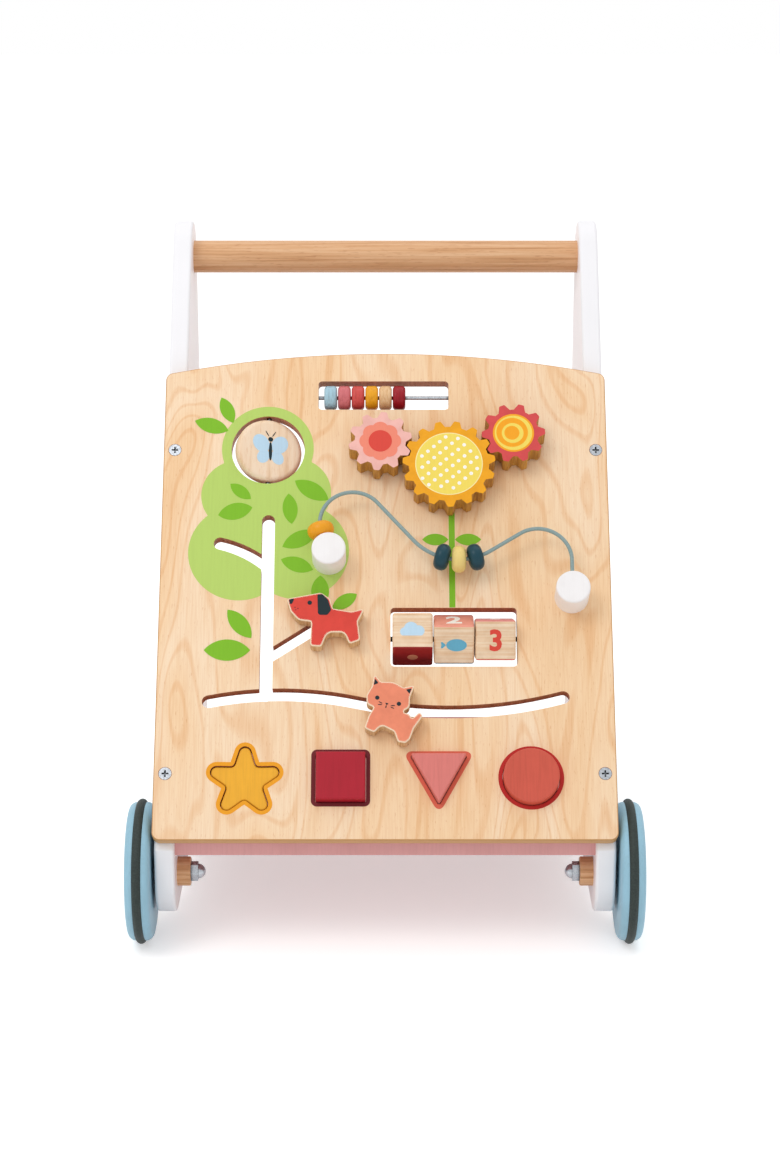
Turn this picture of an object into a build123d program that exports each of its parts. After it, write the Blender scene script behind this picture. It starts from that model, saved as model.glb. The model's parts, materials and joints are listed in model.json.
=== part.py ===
"""Wooden baby walker with a sloping activity board.

Frame: +Z up, floor at Z = 0, origin under the middle of the walker.
The board faces -Y, where the photograph is taken from, and the handle is at +Y.
"""

from build123d import *
from math import acos, atan2, cos, degrees, hypot, pi, radians, sin, sqrt
import os

# Driving dimensions in millimetres and degrees

# Wheels and axles
WHEEL_BASE = 310.0
WHEEL_DIAMETER = 104.0
WHEEL_THICKNESS = 18.5
WHEEL_EDGE_RADIUS = 5.5
TYRE_CORD = 7.0
TYRE_PROUD = 2.5
AXLE_DIAMETER = 8.0
AXLE_CLEARANCE = 0.1
AXLE_HEAD_DIAMETER = 16.0
AXLE_HEAD_HEIGHT = 5.0
AXLE_HEAD_SINK = 0.5
AXLE_HEAD_ROUNDING = 2.25
HEAD_POCKET_CLEARANCE = 1.0
WASHER_THICKNESS = 2.3
WASHER_DIAMETER = 20.0
RUNNING_GAP = 0.2
SPACER_DIAMETER = 22.0
SPACER_THICKNESS = 10.0
SPACER_EDGE_RADIUS = 1.0
NUT_FLATS = 13.0
NUT_HEX_LENGTH = 5.5
NUT_DOME_RADIUS = 5.6

# Side boards, shelf and handle
BODY_WIDTH = 342.6
SIDE_THICKNESS = 15.0
SIDE_EDGE_RADIUS = 2.5
FOOT_RADIUS = 30.0
HANDLE_DIAMETER = 26.0
HANDLE_HEIGHT = 466.0
HANDLE_END_RADIUS = 29.0
SHELF_THICKNESS = 12.0
SHELF_TOP = 88.5
SHELF_FRONT_GAP = 8.0
SHELF_REAR = 88.0
RAIL_THICKNESS = 12.0
RAIL_HEIGHT = 24.0

# Activity panel, in its own plane: across, up the slope, out of the face
PANEL_LEAN = 38.0
PANEL_WIDTH = 345.0
PANEL_THICKNESS = 10.0
PANEL_SIDE_HEIGHT = 378.0
PANEL_CROWN = 18.0
PANEL_FOOT_HEIGHT = 94.4
PANEL_FOOT_REACH = 34.6
PANEL_CORNER_RADIUS = 6.0
PANEL_EDGE_RADIUS = 1.0
FIT = 0.05
TURN_CLEARANCE = 0.15

# Screws
SCREW_HEAD_DIAMETER = 9.5
SCREW_HEAD_HEIGHT = 3.0
SCREW_HEAD_CLEARANCE = 0.4
SCREW_SHANK_DIAMETER = 4.5
SCREW_LENGTH = 38.0
SCREW_RECESS_LENGTH = 5.2
SCREW_RECESS_WIDTH = 1.3
SCREW_RECESS_DEPTH = 1.6
PANEL_SCREW_HEIGHTS = (51.0, 313.0)
POST_SCREW_LENGTH = 22.0
SHELF_SCREW_REACHES = (-120.0, 30.0)

# Bead rod in the top window
BEAD_WINDOW_WIDTH = 102.0
BEAD_WINDOW_HEIGHT = 24.4
BEAD_WINDOW_ACROSS = -1.5
BEAD_WINDOW_CENTRE = 359.5
WINDOW_CORNER_RADIUS = 3.0
ROD_DIAMETER = 3.0
ROD_SEAT = 8.0
BEAD_DIAMETER = 19.0
BEAD_THICKNESS = 10.0
BEAD_EDGE_RADIUS = 2.8
BEAD_COUNT = 6
BEAD_GAP = 0.75
BEAD_LEFT_ROOM = 4.5

# Spinning disc in the round window
DISC_CENTRE = (-91.2, 313.0)
DISC_HOLE_DIAMETER = 57.0
DISC_DIAMETER = 52.0
DISC_THICKNESS = 12.0
DISC_EDGE_RADIUS = 4.0
DISC_REST_TURN = 17.0
DISC_ROD_DIAMETER = 4.0

# Toothed gears
GEAR_MODULE = 4.5
GEAR_THICKNESS = 18.0
GEAR_GAP = 1.0
GEAR_ADDENDUM = 2.0
GEAR_DEDENDUM = 2.8
GEAR_BACKLASH = 1.0
GEAR_FLANK = 24.0
GEAR_TOOTH_ROOTING = 1.0
GEAR_TIP_RADIUS = 1.05
BIG_TEETH = 15
SMALL_TEETH = 10
BIG_GEAR_CENTRE = (49.0, 293.3)
BIG_GEAR_PHASE = 7.5
PINK_GEAR_DIRECTION = 160.2
RED_GEAR_DIRECTION = 27.3
GEAR_SHAFT_DIAMETER = 10.0
GEAR_SHAFT_DEPTH = 12.0
GEAR_FLANGE_DIAMETER = 22.0
GEAR_FLANGE_THICKNESS = 4.0
GEAR_FLANGE_GAP = 0.4

# Bent bead wire and its posts
WIRE_DIAMETER = 3.0
WIRE_HEIGHT = 15.0
POST_DIAMETER = 26.0
POST_HEIGHT = 24.0
POST_EDGE_RADIUS = 1.5
WIRE_SEAT = 5.0
LEFT_POST = (-43.0, 222.0)
LEFT_LEG_DIRECTION = 110.0
LEFT_ARCH_CENTRE = (-25.0, 246.0)
VALLEY_CENTRE = (56.0, 262.0)
VALLEY_RADIUS = 46.0
RIGHT_ARCH_CENTRE = (116.5, 215.5)
RIGHT_ARCH_RADIUS = 25.5
RIGHT_LEG_LENGTH = 24.8
WIRE_BEAD_DIAMETER = 20.5
WIRE_BEAD_THICKNESS = 11.0
WIRE_BEAD_EDGE_RADIUS = 5.0
WIRE_BEAD_BORE = 4.6
WIRE_BEAD_STEP = 16.0
WIRE_BEAD_REST_GAP = 0.3

# Turning cubes in the middle window
CUBE_WINDOW_LEFT = 4.0
CUBE_WINDOW_WIDTH = 96.0
CUBE_WINDOW_BOTTOM = 135.0
CUBE_WINDOW_HEIGHT = 47.2
CUBE_SIZE = 30.5
CUBE_GAP = 0.8
CUBE_EDGE_RADIUS = 2.0
CUBE_ROD_DIAMETER = 4.0
CUBE_TURNS = (7.7, -36.5, -22.3)

# Guide slots and the animals that run in them
SLOT_WIDTH = 10.0
TRUNK_ACROSS = -90.0
TRUNK_BOTTOM = 112.0
TRUNK_TOP = 253.2
LEFT_BRANCH = ((-126.8, 234.7), (-110.0, 228.8), (-90.0, 215.8))
RIGHT_BRANCH_END = (-44.0, 172.0)
RIGHT_BRANCH_RISE = 33.4
HUMP_TOP = (-78.7, 112.6)
HUMP_RADIUS = 271.0
HUMP_LEFT_REACH = 54.1
DIP_RADIUS = 328.0
DIP_ACROSS = 48.0
DIP_RIGHT_REACH = 85.7
CAT_ACROSS = 3.0
PEG_CLEARANCE = 0.3
PEG_DEPTH = 8.0
PEG_DISC_DIAMETER = 21.0
PEG_DISC_THICKNESS = 4.0
FIGURE_GAP = 1.0
DOG_THICKNESS = 12.5
CAT_THICKNESS = 12.0
CAT_TILT = -15.0
FIGURE_EDGE_RADIUS = 1.0

# Corners of each animal about its peg: across, up and the radius there
DOG_CORNERS = (
    (-30.6, 12.8, 2.0),
    (-4.6, 17.8, 4.0),
    (2.2, 12.8, 4.0),
    (4.4, 4.9, 1.2),
    (18.4, 2.4, 5.0),
    (28.6, 5.0, 1.4),
    (23.4, -5.6, 1.5),
    (25.2, -20.4, 2.4),
    (17.0, -23.4, 2.0),
    (13.2, -14.2, 5.0),
    (0.4, -14.2, 6.0),
    (-4.0, -25.6, 2.4),
    (-12.6, -25.0, 2.4),
    (-12.0, -5.6, 1.2),
    (-21.4, -4.4, 6.0),
    (-27.6, 2.6, 6.0),
)
CAT_CORNERS = (
    (-16.8, 19.4, 1.2),
    (-10.2, 14.4, 1.6),
    (-1.4, 16.8, 12.0),
    (7.4, 14.4, 1.6),
    (15.0, 18.6, 1.2),
    (13.9, 8.4, 3.0),
    (15.6, 0.6, 4.0),
    (11.0, -4.4, 1.2),
    (16.6, -4.6, 2.0),
    (19.6, -7.6, 1.4),
    (23.8, -0.8, 1.5),
    (26.8, -3.4, 1.5),
    (22.9, -14.6, 3.0),
    (22.2, -23.2, 3.0),
    (19.8, -27.0, 2.2),
    (14.0, -27.6, 2.0),
    (9.4, -20.6, 4.0),
    (-1.0, -18.2, 4.0),
    (-4.8, -25.0, 2.0),
    (-12.8, -23.8, 2.2),
    (-12.2, -13.6, 4.0),
    (-10.2, -6.2, 1.2),
    (-16.0, -5.2, 4.0),
    (-18.0, 1.6, 4.0),
    (-15.9, 9.2, 3.0),
)

# Shape blocks
STAR_CENTRE = (-104.5, 45.2)
STAR_RADIUS = 30.0
STAR_INNER_RADIUS = 16.1
STAR_TIP_RADIUS = 8.0
SQUARE_CENTRE = (-33.1, 47.6)
SQUARE_SIZE = 44.0
TRIANGLE_CENTRE = (39.9, 46.3)
TRIANGLE_WIDTH = 47.8
TRIANGLE_HEIGHT = 44.0
CIRCLE_CENTRE = (108.6, 47.7)
CIRCLE_DIAMETER = 49.0
SHAPE_CORNER_RADIUS = 4.5
SHAPE_RIM = 3.0
SHAPE_CLEARANCE = 0.6
SHAPE_HEIGHT = 20.0
SHAPE_PROUD = 8.0
STAR_SINK = 1.0
SHAPE_EDGE_RADIUS = 1.2

# Worked-out sizes
TYRE_RADIUS = WHEEL_DIAMETER / 2 + TYRE_PROUD
AXLE_HEIGHT = TYRE_RADIUS
FRONT_AXLE = -WHEEL_BASE / 2
REAR_AXLE = WHEEL_BASE / 2
BODY_HALF = BODY_WIDTH / 2
INNER_HALF = BODY_HALF - SIDE_THICKNESS
WHEEL_INNER = BODY_HALF + WASHER_THICKNESS + 2 * RUNNING_GAP
WHEEL_OUTER = WHEEL_INNER + WHEEL_THICKNESS
SLOPE_UP = (sin(radians(PANEL_LEAN)), cos(radians(PANEL_LEAN)))
SLOPE_OUT = (-cos(radians(PANEL_LEAN)), sin(radians(PANEL_LEAN)))
RAIL_REACH = SHELF_REAR - RAIL_THICKNESS / 2
RAIL_MIDDLE = SHELF_TOP - SHELF_THICKNESS - RAIL_HEIGHT / 2
PANEL_FOOT = (FRONT_AXLE - PANEL_FOOT_REACH, PANEL_FOOT_HEIGHT)
PANEL = Plane(
    origin=(0, PANEL_FOOT[0], PANEL_FOOT[1]),
    x_dir=(1, 0, 0),
    z_dir=(0, SLOPE_OUT[0], SLOPE_OUT[1]),
)
MID_DEPTH = -PANEL_THICKNESS / 2
BEAD_ROD_HEIGHT = BEAD_WINDOW_CENTRE
BEAD_PITCH = BEAD_THICKNESS + BEAD_GAP
FIRST_BEAD = BEAD_WINDOW_ACROSS - BEAD_WINDOW_WIDTH / 2 + BEAD_LEFT_ROOM + BEAD_THICKNESS / 2
BIG_PITCH_RADIUS = GEAR_MODULE * BIG_TEETH / 2
SMALL_PITCH_RADIUS = GEAR_MODULE * SMALL_TEETH / 2
GEAR_DISTANCE = BIG_PITCH_RADIUS + SMALL_PITCH_RADIUS
CUBE_ROD_HEIGHT = CUBE_WINDOW_BOTTOM + CUBE_WINDOW_HEIGHT / 2
CUBE_WINDOW_CENTRE = CUBE_WINDOW_LEFT + CUBE_WINDOW_WIDTH / 2
HUMP_CENTRE = (HUMP_TOP[0], HUMP_TOP[1] - HUMP_RADIUS)
DIP_CENTRE = (
    DIP_ACROSS,
    HUMP_CENTRE[1] + sqrt((HUMP_RADIUS + DIP_RADIUS) ** 2 - (DIP_ACROSS - HUMP_CENTRE[0]) ** 2),
)
DOG_PEG = RIGHT_BRANCH_END
CAT_PEG = (CAT_ACROSS, DIP_CENTRE[1] - sqrt(DIP_RADIUS**2 - (CAT_ACROSS - DIP_ACROSS) ** 2))
PEG_DIAMETER = SLOT_WIDTH - 2 * PEG_CLEARANCE


def polar(centre, radius, angle):
    """Point at an angle in degrees on a circle in the panel's plane."""
    return (
        centre[0] + radius * cos(radians(angle)),
        centre[1] + radius * sin(radians(angle)),
    )


def on_panel(shape):
    """Carry a shape from the panel's own plane into the walker's frame."""
    return PANEL.location * shape


def placed(shape, across, height, depth=0.0):
    """Move a shape to a place given in the panel's own plane."""
    return Pos(across, height, depth) * shape


def x_cylinder(diameter, low, high, reach, height):
    """Cylinder along X between two places."""
    return Pos((low + high) / 2, reach, height) * Rot(0, 90, 0) * Cylinder(diameter / 2, high - low)


def z_cylinder(diameter, low, high):
    """Cylinder along Z between two heights."""
    return Pos(0, 0, (low + high) / 2) * Cylinder(diameter / 2, high - low)


def sided(shape, side):
    """The given right-hand shape, or its mirror image for the left side."""
    return shape if side > 0 else mirror(shape, about=Plane.YZ)


# Frame


def side_outline():
    """Side board seen from the side: two round feet and a round end at the handle."""
    back_foot = (
        PANEL_FOOT[0] - PANEL_THICKNESS * SLOPE_OUT[0],
        PANEL_FOOT[1] - PANEL_THICKNESS * SLOPE_OUT[1],
    )
    handle = handle_centre()
    front = FRONT_AXLE - FOOT_RADIUS
    corner_rise = (front - back_foot[0]) / SLOPE_UP[0] * SLOPE_UP[1]
    corner = (front, back_foot[1] + corner_rise)
    lift = (handle[0] + HANDLE_END_RADIUS * SLOPE_OUT[0], handle[1] + HANDLE_END_RADIUS * SLOPE_OUT[1])
    run = (handle[0] - REAR_AXLE, handle[1] - AXLE_HEIGHT)
    run_angle = degrees(atan2(run[1], run[0]))
    shrink = degrees(acos((FOOT_RADIUS - HANDLE_END_RADIUS) / hypot(*run)))
    rear_angle = run_angle - shrink
    top_rear = polar(handle, HANDLE_END_RADIUS, rear_angle)
    foot_rear = polar((REAR_AXLE, AXLE_HEIGHT), FOOT_RADIUS, rear_angle)
    top_middle = polar(handle, HANDLE_END_RADIUS, (rear_angle + 180 - PANEL_LEAN) / 2)
    rear_low = polar((REAR_AXLE, AXLE_HEIGHT), FOOT_RADIUS, (rear_angle - 90) / 2)
    front_low = polar((FRONT_AXLE, AXLE_HEIGHT), FOOT_RADIUS, 225)
    outline = [
        Line((front, AXLE_HEIGHT), corner),
        Line(corner, lift),
        ThreePointArc(lift, top_middle, top_rear),
        Line(top_rear, foot_rear),
        ThreePointArc(foot_rear, rear_low, (REAR_AXLE, AXLE_HEIGHT - FOOT_RADIUS)),
        Line((REAR_AXLE, AXLE_HEIGHT - FOOT_RADIUS), (FRONT_AXLE, AXLE_HEIGHT - FOOT_RADIUS)),
        ThreePointArc(
            (FRONT_AXLE, AXLE_HEIGHT - FOOT_RADIUS), front_low, (front, AXLE_HEIGHT)
        ),
    ]
    return make_face(outline)


def handle_centre():
    """Handle axis, set so that the board's straight front edge runs into its round end."""
    slope_height = (HANDLE_HEIGHT - PANEL_FOOT[1]) + (PANEL_THICKNESS + HANDLE_END_RADIUS) * SLOPE_OUT[1]
    climb = slope_height / SLOPE_UP[1]
    reach = PANEL_FOOT[0] + climb * SLOPE_UP[0] - (PANEL_THICKNESS + HANDLE_END_RADIUS) * SLOPE_OUT[0]
    return (reach, HANDLE_HEIGHT)


def screw(length):
    """Countersunk screw along -Z with the top of its head at Z = 0."""
    head = Cone(SCREW_SHANK_DIAMETER / 2, SCREW_HEAD_DIAMETER / 2, SCREW_HEAD_HEIGHT)
    shank_length = length - SCREW_HEAD_HEIGHT
    shank = Cylinder(SCREW_SHANK_DIAMETER / 2, shank_length)
    slot = Pos(0, 0, -SCREW_RECESS_DEPTH / 2)
    slot *= Box(SCREW_RECESS_LENGTH, SCREW_RECESS_WIDTH, SCREW_RECESS_DEPTH)
    body = Pos(0, 0, -SCREW_HEAD_HEIGHT / 2) * head
    body += Pos(0, 0, -SCREW_HEAD_HEIGHT - shank_length / 2) * shank
    return body - slot - Rot(0, 0, 90) * slot


def screw_hole(length):
    """Space that a screw takes up, with its fit."""
    head_height = SCREW_HEAD_HEIGHT + FIT
    shank_radius = SCREW_SHANK_DIAMETER / 2 + FIT
    head = Cone(shank_radius, SCREW_HEAD_DIAMETER / 2 + SCREW_HEAD_CLEARANCE, head_height)
    shank = Pos(0, 0, -length / 2) * Cylinder(shank_radius, length + FIT)
    return Pos(0, 0, FIT - head_height / 2) * head + shank


def panel_screw_places():
    """Places of the four panel screws, over the middle of each side board."""
    across = INNER_HALF + SIDE_THICKNESS / 2
    places = []
    for side in (-1, 1):
        for height in PANEL_SCREW_HEIGHTS:
            places.append(PANEL.location * Pos(side * across, height, 0))
    return places


def side_screw_places():
    """Places of the screws that enter the handle, shelf and rail from each side."""
    targets = [handle_centre()]
    targets += [(reach, SHELF_TOP - SHELF_THICKNESS / 2) for reach in SHELF_SCREW_REACHES]
    targets += [(RAIL_REACH, RAIL_MIDDLE)]
    places = []
    for side in (-1, 1):
        for reach, height in targets:
            places.append(Pos(side * BODY_HALF, reach, height) * Rot(0, side * 90, 0))
    return places


def post_screw_places():
    """Places of the screws that hold the wire posts from behind the panel."""
    return [
        PANEL.location * Pos(across, height, -PANEL_THICKNESS) * Rot(180, 0, 0)
        for across, height in (LEFT_POST, right_post())
    ]


def holes(places, length):
    """Cutting shapes for screws at several places."""
    return [place * screw_hole(length) for place in places]


def axle_places():
    """Every wheel's side and its axle's reach."""
    return [(side, reach) for reach in (FRONT_AXLE, REAR_AXLE) for side in (-1, 1)]


def side_board(side):
    """Painted plywood side board with axle holes and screw holes."""
    board = Pos(INNER_HALF, 0, 0) * extrude(Plane.YZ * side_outline(), SIDE_THICKNESS)
    board = fillet(board.edges().filter_by(Plane.YZ), SIDE_EDGE_RADIUS)
    board = sided(board, side)
    for reach in (FRONT_AXLE, REAR_AXLE):
        low, high = sorted((side * (INNER_HALF - 1), side * (BODY_HALF + 1)))
        board -= x_cylinder(AXLE_DIAMETER + 2 * FIT, low, high, reach, AXLE_HEIGHT)
    board -= holes(side_screw_places(), SCREW_LENGTH)
    board -= holes(panel_screw_places(), SCREW_LENGTH)
    return board


def base_shelf():
    """Pink floor board of the tray between the two side boards."""
    front = FRONT_AXLE - FOOT_RADIUS + SHELF_FRONT_GAP
    depth = SHELF_REAR - front
    board = Box(2 * INNER_HALF, depth, SHELF_THICKNESS)
    board = Pos(0, front + depth / 2, SHELF_TOP - SHELF_THICKNESS / 2) * board
    board = fillet(board.edges().filter_by(Axis.X), SIDE_EDGE_RADIUS / 2)
    board -= holes(side_screw_places(), SCREW_LENGTH)
    return board


def shelf_rail():
    """Cross rail that stiffens the shelf under its rear edge."""
    rail = Box(2 * INNER_HALF, RAIL_THICKNESS, RAIL_HEIGHT)
    rail = Pos(0, RAIL_REACH, RAIL_MIDDLE) * rail
    lower_edges = rail.edges().filter_by(Axis.X).group_by(Axis.Z)[0]
    rail = fillet(lower_edges, SIDE_EDGE_RADIUS)
    rail -= holes(side_screw_places(), SCREW_LENGTH)
    return rail


def handle_bar():
    """Round beech handle between the side boards."""
    reach, height = handle_centre()
    bar = x_cylinder(HANDLE_DIAMETER, -INNER_HALF, INNER_HALF, reach, height)
    return bar - holes(side_screw_places(), SCREW_LENGTH)


# Wheels


def wheel():
    """Wheel along X at its place on the right side, centred on its axle."""
    disc = Rot(0, 90, 0) * Cylinder(WHEEL_DIAMETER / 2, WHEEL_THICKNESS)
    disc = fillet(disc.edges(), WHEEL_EDGE_RADIUS)
    disc -= Rot(0, 90, 0) * Torus(TYRE_RADIUS - TYRE_CORD / 2, TYRE_CORD / 2 + FIT)
    disc -= Rot(0, 90, 0) * Cylinder(AXLE_DIAMETER / 2 + AXLE_CLEARANCE, 2 * WHEEL_THICKNESS)
    pocket_depth = AXLE_HEAD_HEIGHT + AXLE_HEAD_SINK + RUNNING_GAP
    pocket = Rot(0, 90, 0) * Cylinder(AXLE_HEAD_DIAMETER / 2 + HEAD_POCKET_CLEARANCE, pocket_depth)
    disc -= Pos(WHEEL_THICKNESS / 2 - pocket_depth / 2, 0, 0) * pocket
    return Pos(WHEEL_INNER + WHEEL_THICKNESS / 2, 0, 0) * disc


def tyre():
    """Rubber cord ring in the groove of a right-hand wheel."""
    ring = Rot(0, 90, 0) * Torus(TYRE_RADIUS - TYRE_CORD / 2, TYRE_CORD / 2)
    return Pos(WHEEL_INNER + WHEEL_THICKNESS / 2, 0, 0) * ring


def axle_bolt():
    """Right-hand bolt that the wheel turns on, from its domed head to the nut."""
    head_top = WHEEL_OUTER - AXLE_HEAD_SINK
    head_bottom = head_top - AXLE_HEAD_HEIGHT
    head = x_cylinder(AXLE_HEAD_DIAMETER, head_bottom, head_top, 0, 0)
    head = fillet(head.edges().group_by(Axis.X)[-1], AXLE_HEAD_ROUNDING)
    end = INNER_HALF - SPACER_THICKNESS - NUT_HEX_LENGTH
    return head + x_cylinder(AXLE_DIAMETER, end, head_bottom, 0, 0)


def axle_washer():
    """Washer between a right-hand wheel and its side board."""
    low = BODY_HALF + RUNNING_GAP
    ring = x_cylinder(WASHER_DIAMETER, low, low + WASHER_THICKNESS, 0, 0)
    return ring - x_cylinder(AXLE_DIAMETER + 2 * FIT, low - 1, low + WASHER_THICKNESS + 1, 0, 0)


def axle_spacer():
    """Wooden disc inside the right-hand side board, under the nut."""
    low = INNER_HALF - SPACER_THICKNESS
    ring = x_cylinder(SPACER_DIAMETER, low, INNER_HALF, 0, 0)
    ring = fillet(ring.edges().group_by(Axis.X)[0], SPACER_EDGE_RADIUS)
    return ring - x_cylinder(AXLE_DIAMETER + 2 * FIT, low - 1, INNER_HALF + 1, 0, 0)


def axle_nut():
    """Domed nut on the inner end of a right-hand bolt."""
    high = INNER_HALF - SPACER_THICKNESS
    low = high - NUT_HEX_LENGTH
    hexagon = RegularPolygon(NUT_FLATS / 2, 6, major_radius=False)
    end = Plane(origin=(low, 0, 0), x_dir=(0, 1, 0), z_dir=(1, 0, 0))
    nut = extrude(end * hexagon, NUT_HEX_LENGTH)
    half_space = Pos(NUT_DOME_RADIUS, 0, 0) * Box(*[2 * NUT_DOME_RADIUS] * 3)
    dome = Sphere(NUT_DOME_RADIUS) - half_space
    nut += Pos(low, 0, 0) * dome
    return nut - x_cylinder(AXLE_DIAMETER + 2 * FIT, low, high + 1, 0, 0)


def at_axle(shape, side, reach):
    """A right-hand wheel piece carried to one of the four wheels."""
    return Pos(0, reach, AXLE_HEIGHT) * sided(shape, side)


def at_every_axle(shape):
    """One node with a right-hand wheel piece at all four wheels."""
    return Compound(children=[at_axle(shape, side, reach) for side, reach in axle_places()])


# Activity panel


def panel_outline():
    """Panel front: straight sides and foot, gently arched top."""
    half = PANEL_WIDTH / 2
    outline = [
        Line((-half, 0), (half, 0)),
        Line((half, 0), (half, PANEL_SIDE_HEIGHT)),
        ThreePointArc(
            (half, PANEL_SIDE_HEIGHT),
            (0, PANEL_SIDE_HEIGHT + PANEL_CROWN),
            (-half, PANEL_SIDE_HEIGHT),
        ),
        Line((-half, PANEL_SIDE_HEIGHT), (-half, 0)),
    ]
    face = make_face(outline)
    return fillet(face.vertices(), PANEL_CORNER_RADIUS)


def through(sketch):
    """Cutting shape right through the panel."""
    return extrude(Pos(0, 0, -2 * PANEL_THICKNESS) * sketch, 4 * PANEL_THICKNESS)


def straight_slot(start, end):
    """Slot with round ends between two centres."""
    length = hypot(end[0] - start[0], end[1] - start[1])
    angle = degrees(atan2(end[1] - start[1], end[0] - start[0]))
    middle = ((start[0] + end[0]) / 2, (start[1] + end[1]) / 2)
    return Pos(*middle) * Rot(0, 0, angle) * SlotCenterToCenter(length, SLOT_WIDTH)


def hump_and_dip():
    """Centre lines of the wavy slot: a hump that runs smoothly into a dip."""
    reach = HUMP_RADIUS / (HUMP_RADIUS + DIP_RADIUS)
    meet = tuple(a + (b - a) * reach for a, b in zip(HUMP_CENTRE, DIP_CENTRE))
    left = (
        HUMP_CENTRE[0] - HUMP_LEFT_REACH,
        HUMP_CENTRE[1] + sqrt(HUMP_RADIUS**2 - HUMP_LEFT_REACH**2),
    )
    right = (
        DIP_CENTRE[0] + DIP_RIGHT_REACH,
        DIP_CENTRE[1] - sqrt(DIP_RADIUS**2 - DIP_RIGHT_REACH**2),
    )
    hump = ThreePointArc(left, HUMP_TOP, meet)
    dip = ThreePointArc(meet, (DIP_CENTRE[0], DIP_CENTRE[1] - DIP_RADIUS), right)
    return hump, dip


def slots():
    """All guide slots: the tree's trunk and branches, and the wavy slot."""
    trunk = straight_slot((TRUNK_ACROSS, TRUNK_BOTTOM), (TRUNK_ACROSS, TRUNK_TOP))
    run = (RIGHT_BRANCH_END[0] - TRUNK_ACROSS) / cos(radians(RIGHT_BRANCH_RISE))
    fork = polar(RIGHT_BRANCH_END, run, 180 + RIGHT_BRANCH_RISE)
    right_branch = straight_slot(fork, RIGHT_BRANCH_END)
    left_branch = SlotArc(ThreePointArc(*LEFT_BRANCH), SLOT_WIDTH)
    hump, dip = hump_and_dip()
    return [trunk, right_branch, left_branch, SlotArc(hump, SLOT_WIDTH), SlotArc(dip, SLOT_WIDTH)]


def activity_panel():
    """Birch plywood panel with every window, slot and seat cut in it."""
    panel = extrude(panel_outline(), -PANEL_THICKNESS)
    panel = fillet(panel.edges().filter_by(Plane.XY), PANEL_EDGE_RADIUS)
    bead_window = Pos(BEAD_WINDOW_ACROSS, BEAD_WINDOW_CENTRE) * RectangleRounded(
        BEAD_WINDOW_WIDTH, BEAD_WINDOW_HEIGHT, WINDOW_CORNER_RADIUS
    )
    cube_window = Pos(CUBE_WINDOW_CENTRE, CUBE_ROD_HEIGHT) * RectangleRounded(
        CUBE_WINDOW_WIDTH, CUBE_WINDOW_HEIGHT, WINDOW_CORNER_RADIUS
    )
    disc_window = Pos(*DISC_CENTRE) * Circle(DISC_HOLE_DIAMETER / 2)
    cuts = [bead_window, cube_window, disc_window]
    cuts += slots()
    cuts += [offset(outline, -SHAPE_RIM) for outline in shape_outlines().values()]
    shaft_hole = Circle(GEAR_SHAFT_DIAMETER / 2 + TURN_CLEARANCE)
    cuts += [Pos(*centre) * shaft_hole for centre in gear_centres().values()]
    for cut in cuts:
        panel -= through(cut)
    panel -= [local_rod(name, 2 * FIT) for name in RODS]
    panel = on_panel(panel)
    panel -= holes(panel_screw_places(), SCREW_LENGTH)
    panel -= holes(post_screw_places(), POST_SCREW_LENGTH)
    return panel


# Rods, beads, disc and cubes


RODS = {
    "abacus_rod": (ROD_DIAMETER, BEAD_WINDOW_WIDTH, (BEAD_WINDOW_ACROSS, BEAD_ROD_HEIGHT), 90),
    "cube_rod": (CUBE_ROD_DIAMETER, CUBE_WINDOW_WIDTH, (CUBE_WINDOW_CENTRE, CUBE_ROD_HEIGHT), 90),
    "disc_rod": (DISC_ROD_DIAMETER, DISC_HOLE_DIAMETER, DISC_CENTRE, 0),
}


def local_rod(name, spare=0.0):
    """A rod across its window, seated in the panel at both ends, in the panel's plane."""
    diameter, span, centre, turn = RODS[name]
    length = span + 2 * ROD_SEAT + spare
    lie = Rot(0, 90, 0) if turn else Rot(90, 0, 0)
    return placed(lie * Cylinder((diameter + spare) / 2, length), centre[0], centre[1], MID_DEPTH)


def rounded_bead(diameter, thickness, bore, edge_radius):
    """Turned bead along X with a round rim."""
    bead = Rot(0, 90, 0) * Cylinder(diameter / 2, thickness)
    bead = fillet(bead.edges(), edge_radius)
    return bead - Rot(0, 90, 0) * Cylinder(bore / 2, 2 * thickness)


def abacus_bead(index):
    """One of the beads on the top rod, counted from the left."""
    bore = ROD_DIAMETER + 2 * TURN_CLEARANCE
    bead = rounded_bead(BEAD_DIAMETER, BEAD_THICKNESS, bore, BEAD_EDGE_RADIUS)
    return on_panel(placed(bead, FIRST_BEAD + index * BEAD_PITCH, BEAD_ROD_HEIGHT, MID_DEPTH))


def spinning_disc():
    """Wooden disc that spins in the round window, on a rod along its diameter."""
    disc = Cylinder(DISC_DIAMETER / 2, DISC_THICKNESS)
    disc = fillet(disc.edges(), DISC_EDGE_RADIUS)
    disc -= Rot(90, 0, 0) * Cylinder(DISC_ROD_DIAMETER / 2 + TURN_CLEARANCE, 2 * DISC_DIAMETER)
    disc = Rot(0, DISC_REST_TURN, 0) * disc
    return on_panel(placed(disc, DISC_CENTRE[0], DISC_CENTRE[1], MID_DEPTH))


def turning_cube(index):
    """One of the cubes in the middle window, turned as it stands at rest."""
    cube = Box(CUBE_SIZE, CUBE_SIZE, CUBE_SIZE)
    cube = fillet(cube.edges(), CUBE_EDGE_RADIUS)
    cube -= Rot(0, 90, 0) * Cylinder(CUBE_ROD_DIAMETER / 2 + TURN_CLEARANCE, 2 * CUBE_SIZE)
    cube = Rot(-CUBE_TURNS[index], 0, 0) * cube
    across = CUBE_WINDOW_CENTRE + (index - 1) * (CUBE_SIZE + CUBE_GAP)
    return on_panel(placed(cube, across, CUBE_ROD_HEIGHT, MID_DEPTH))


# Gears


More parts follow.
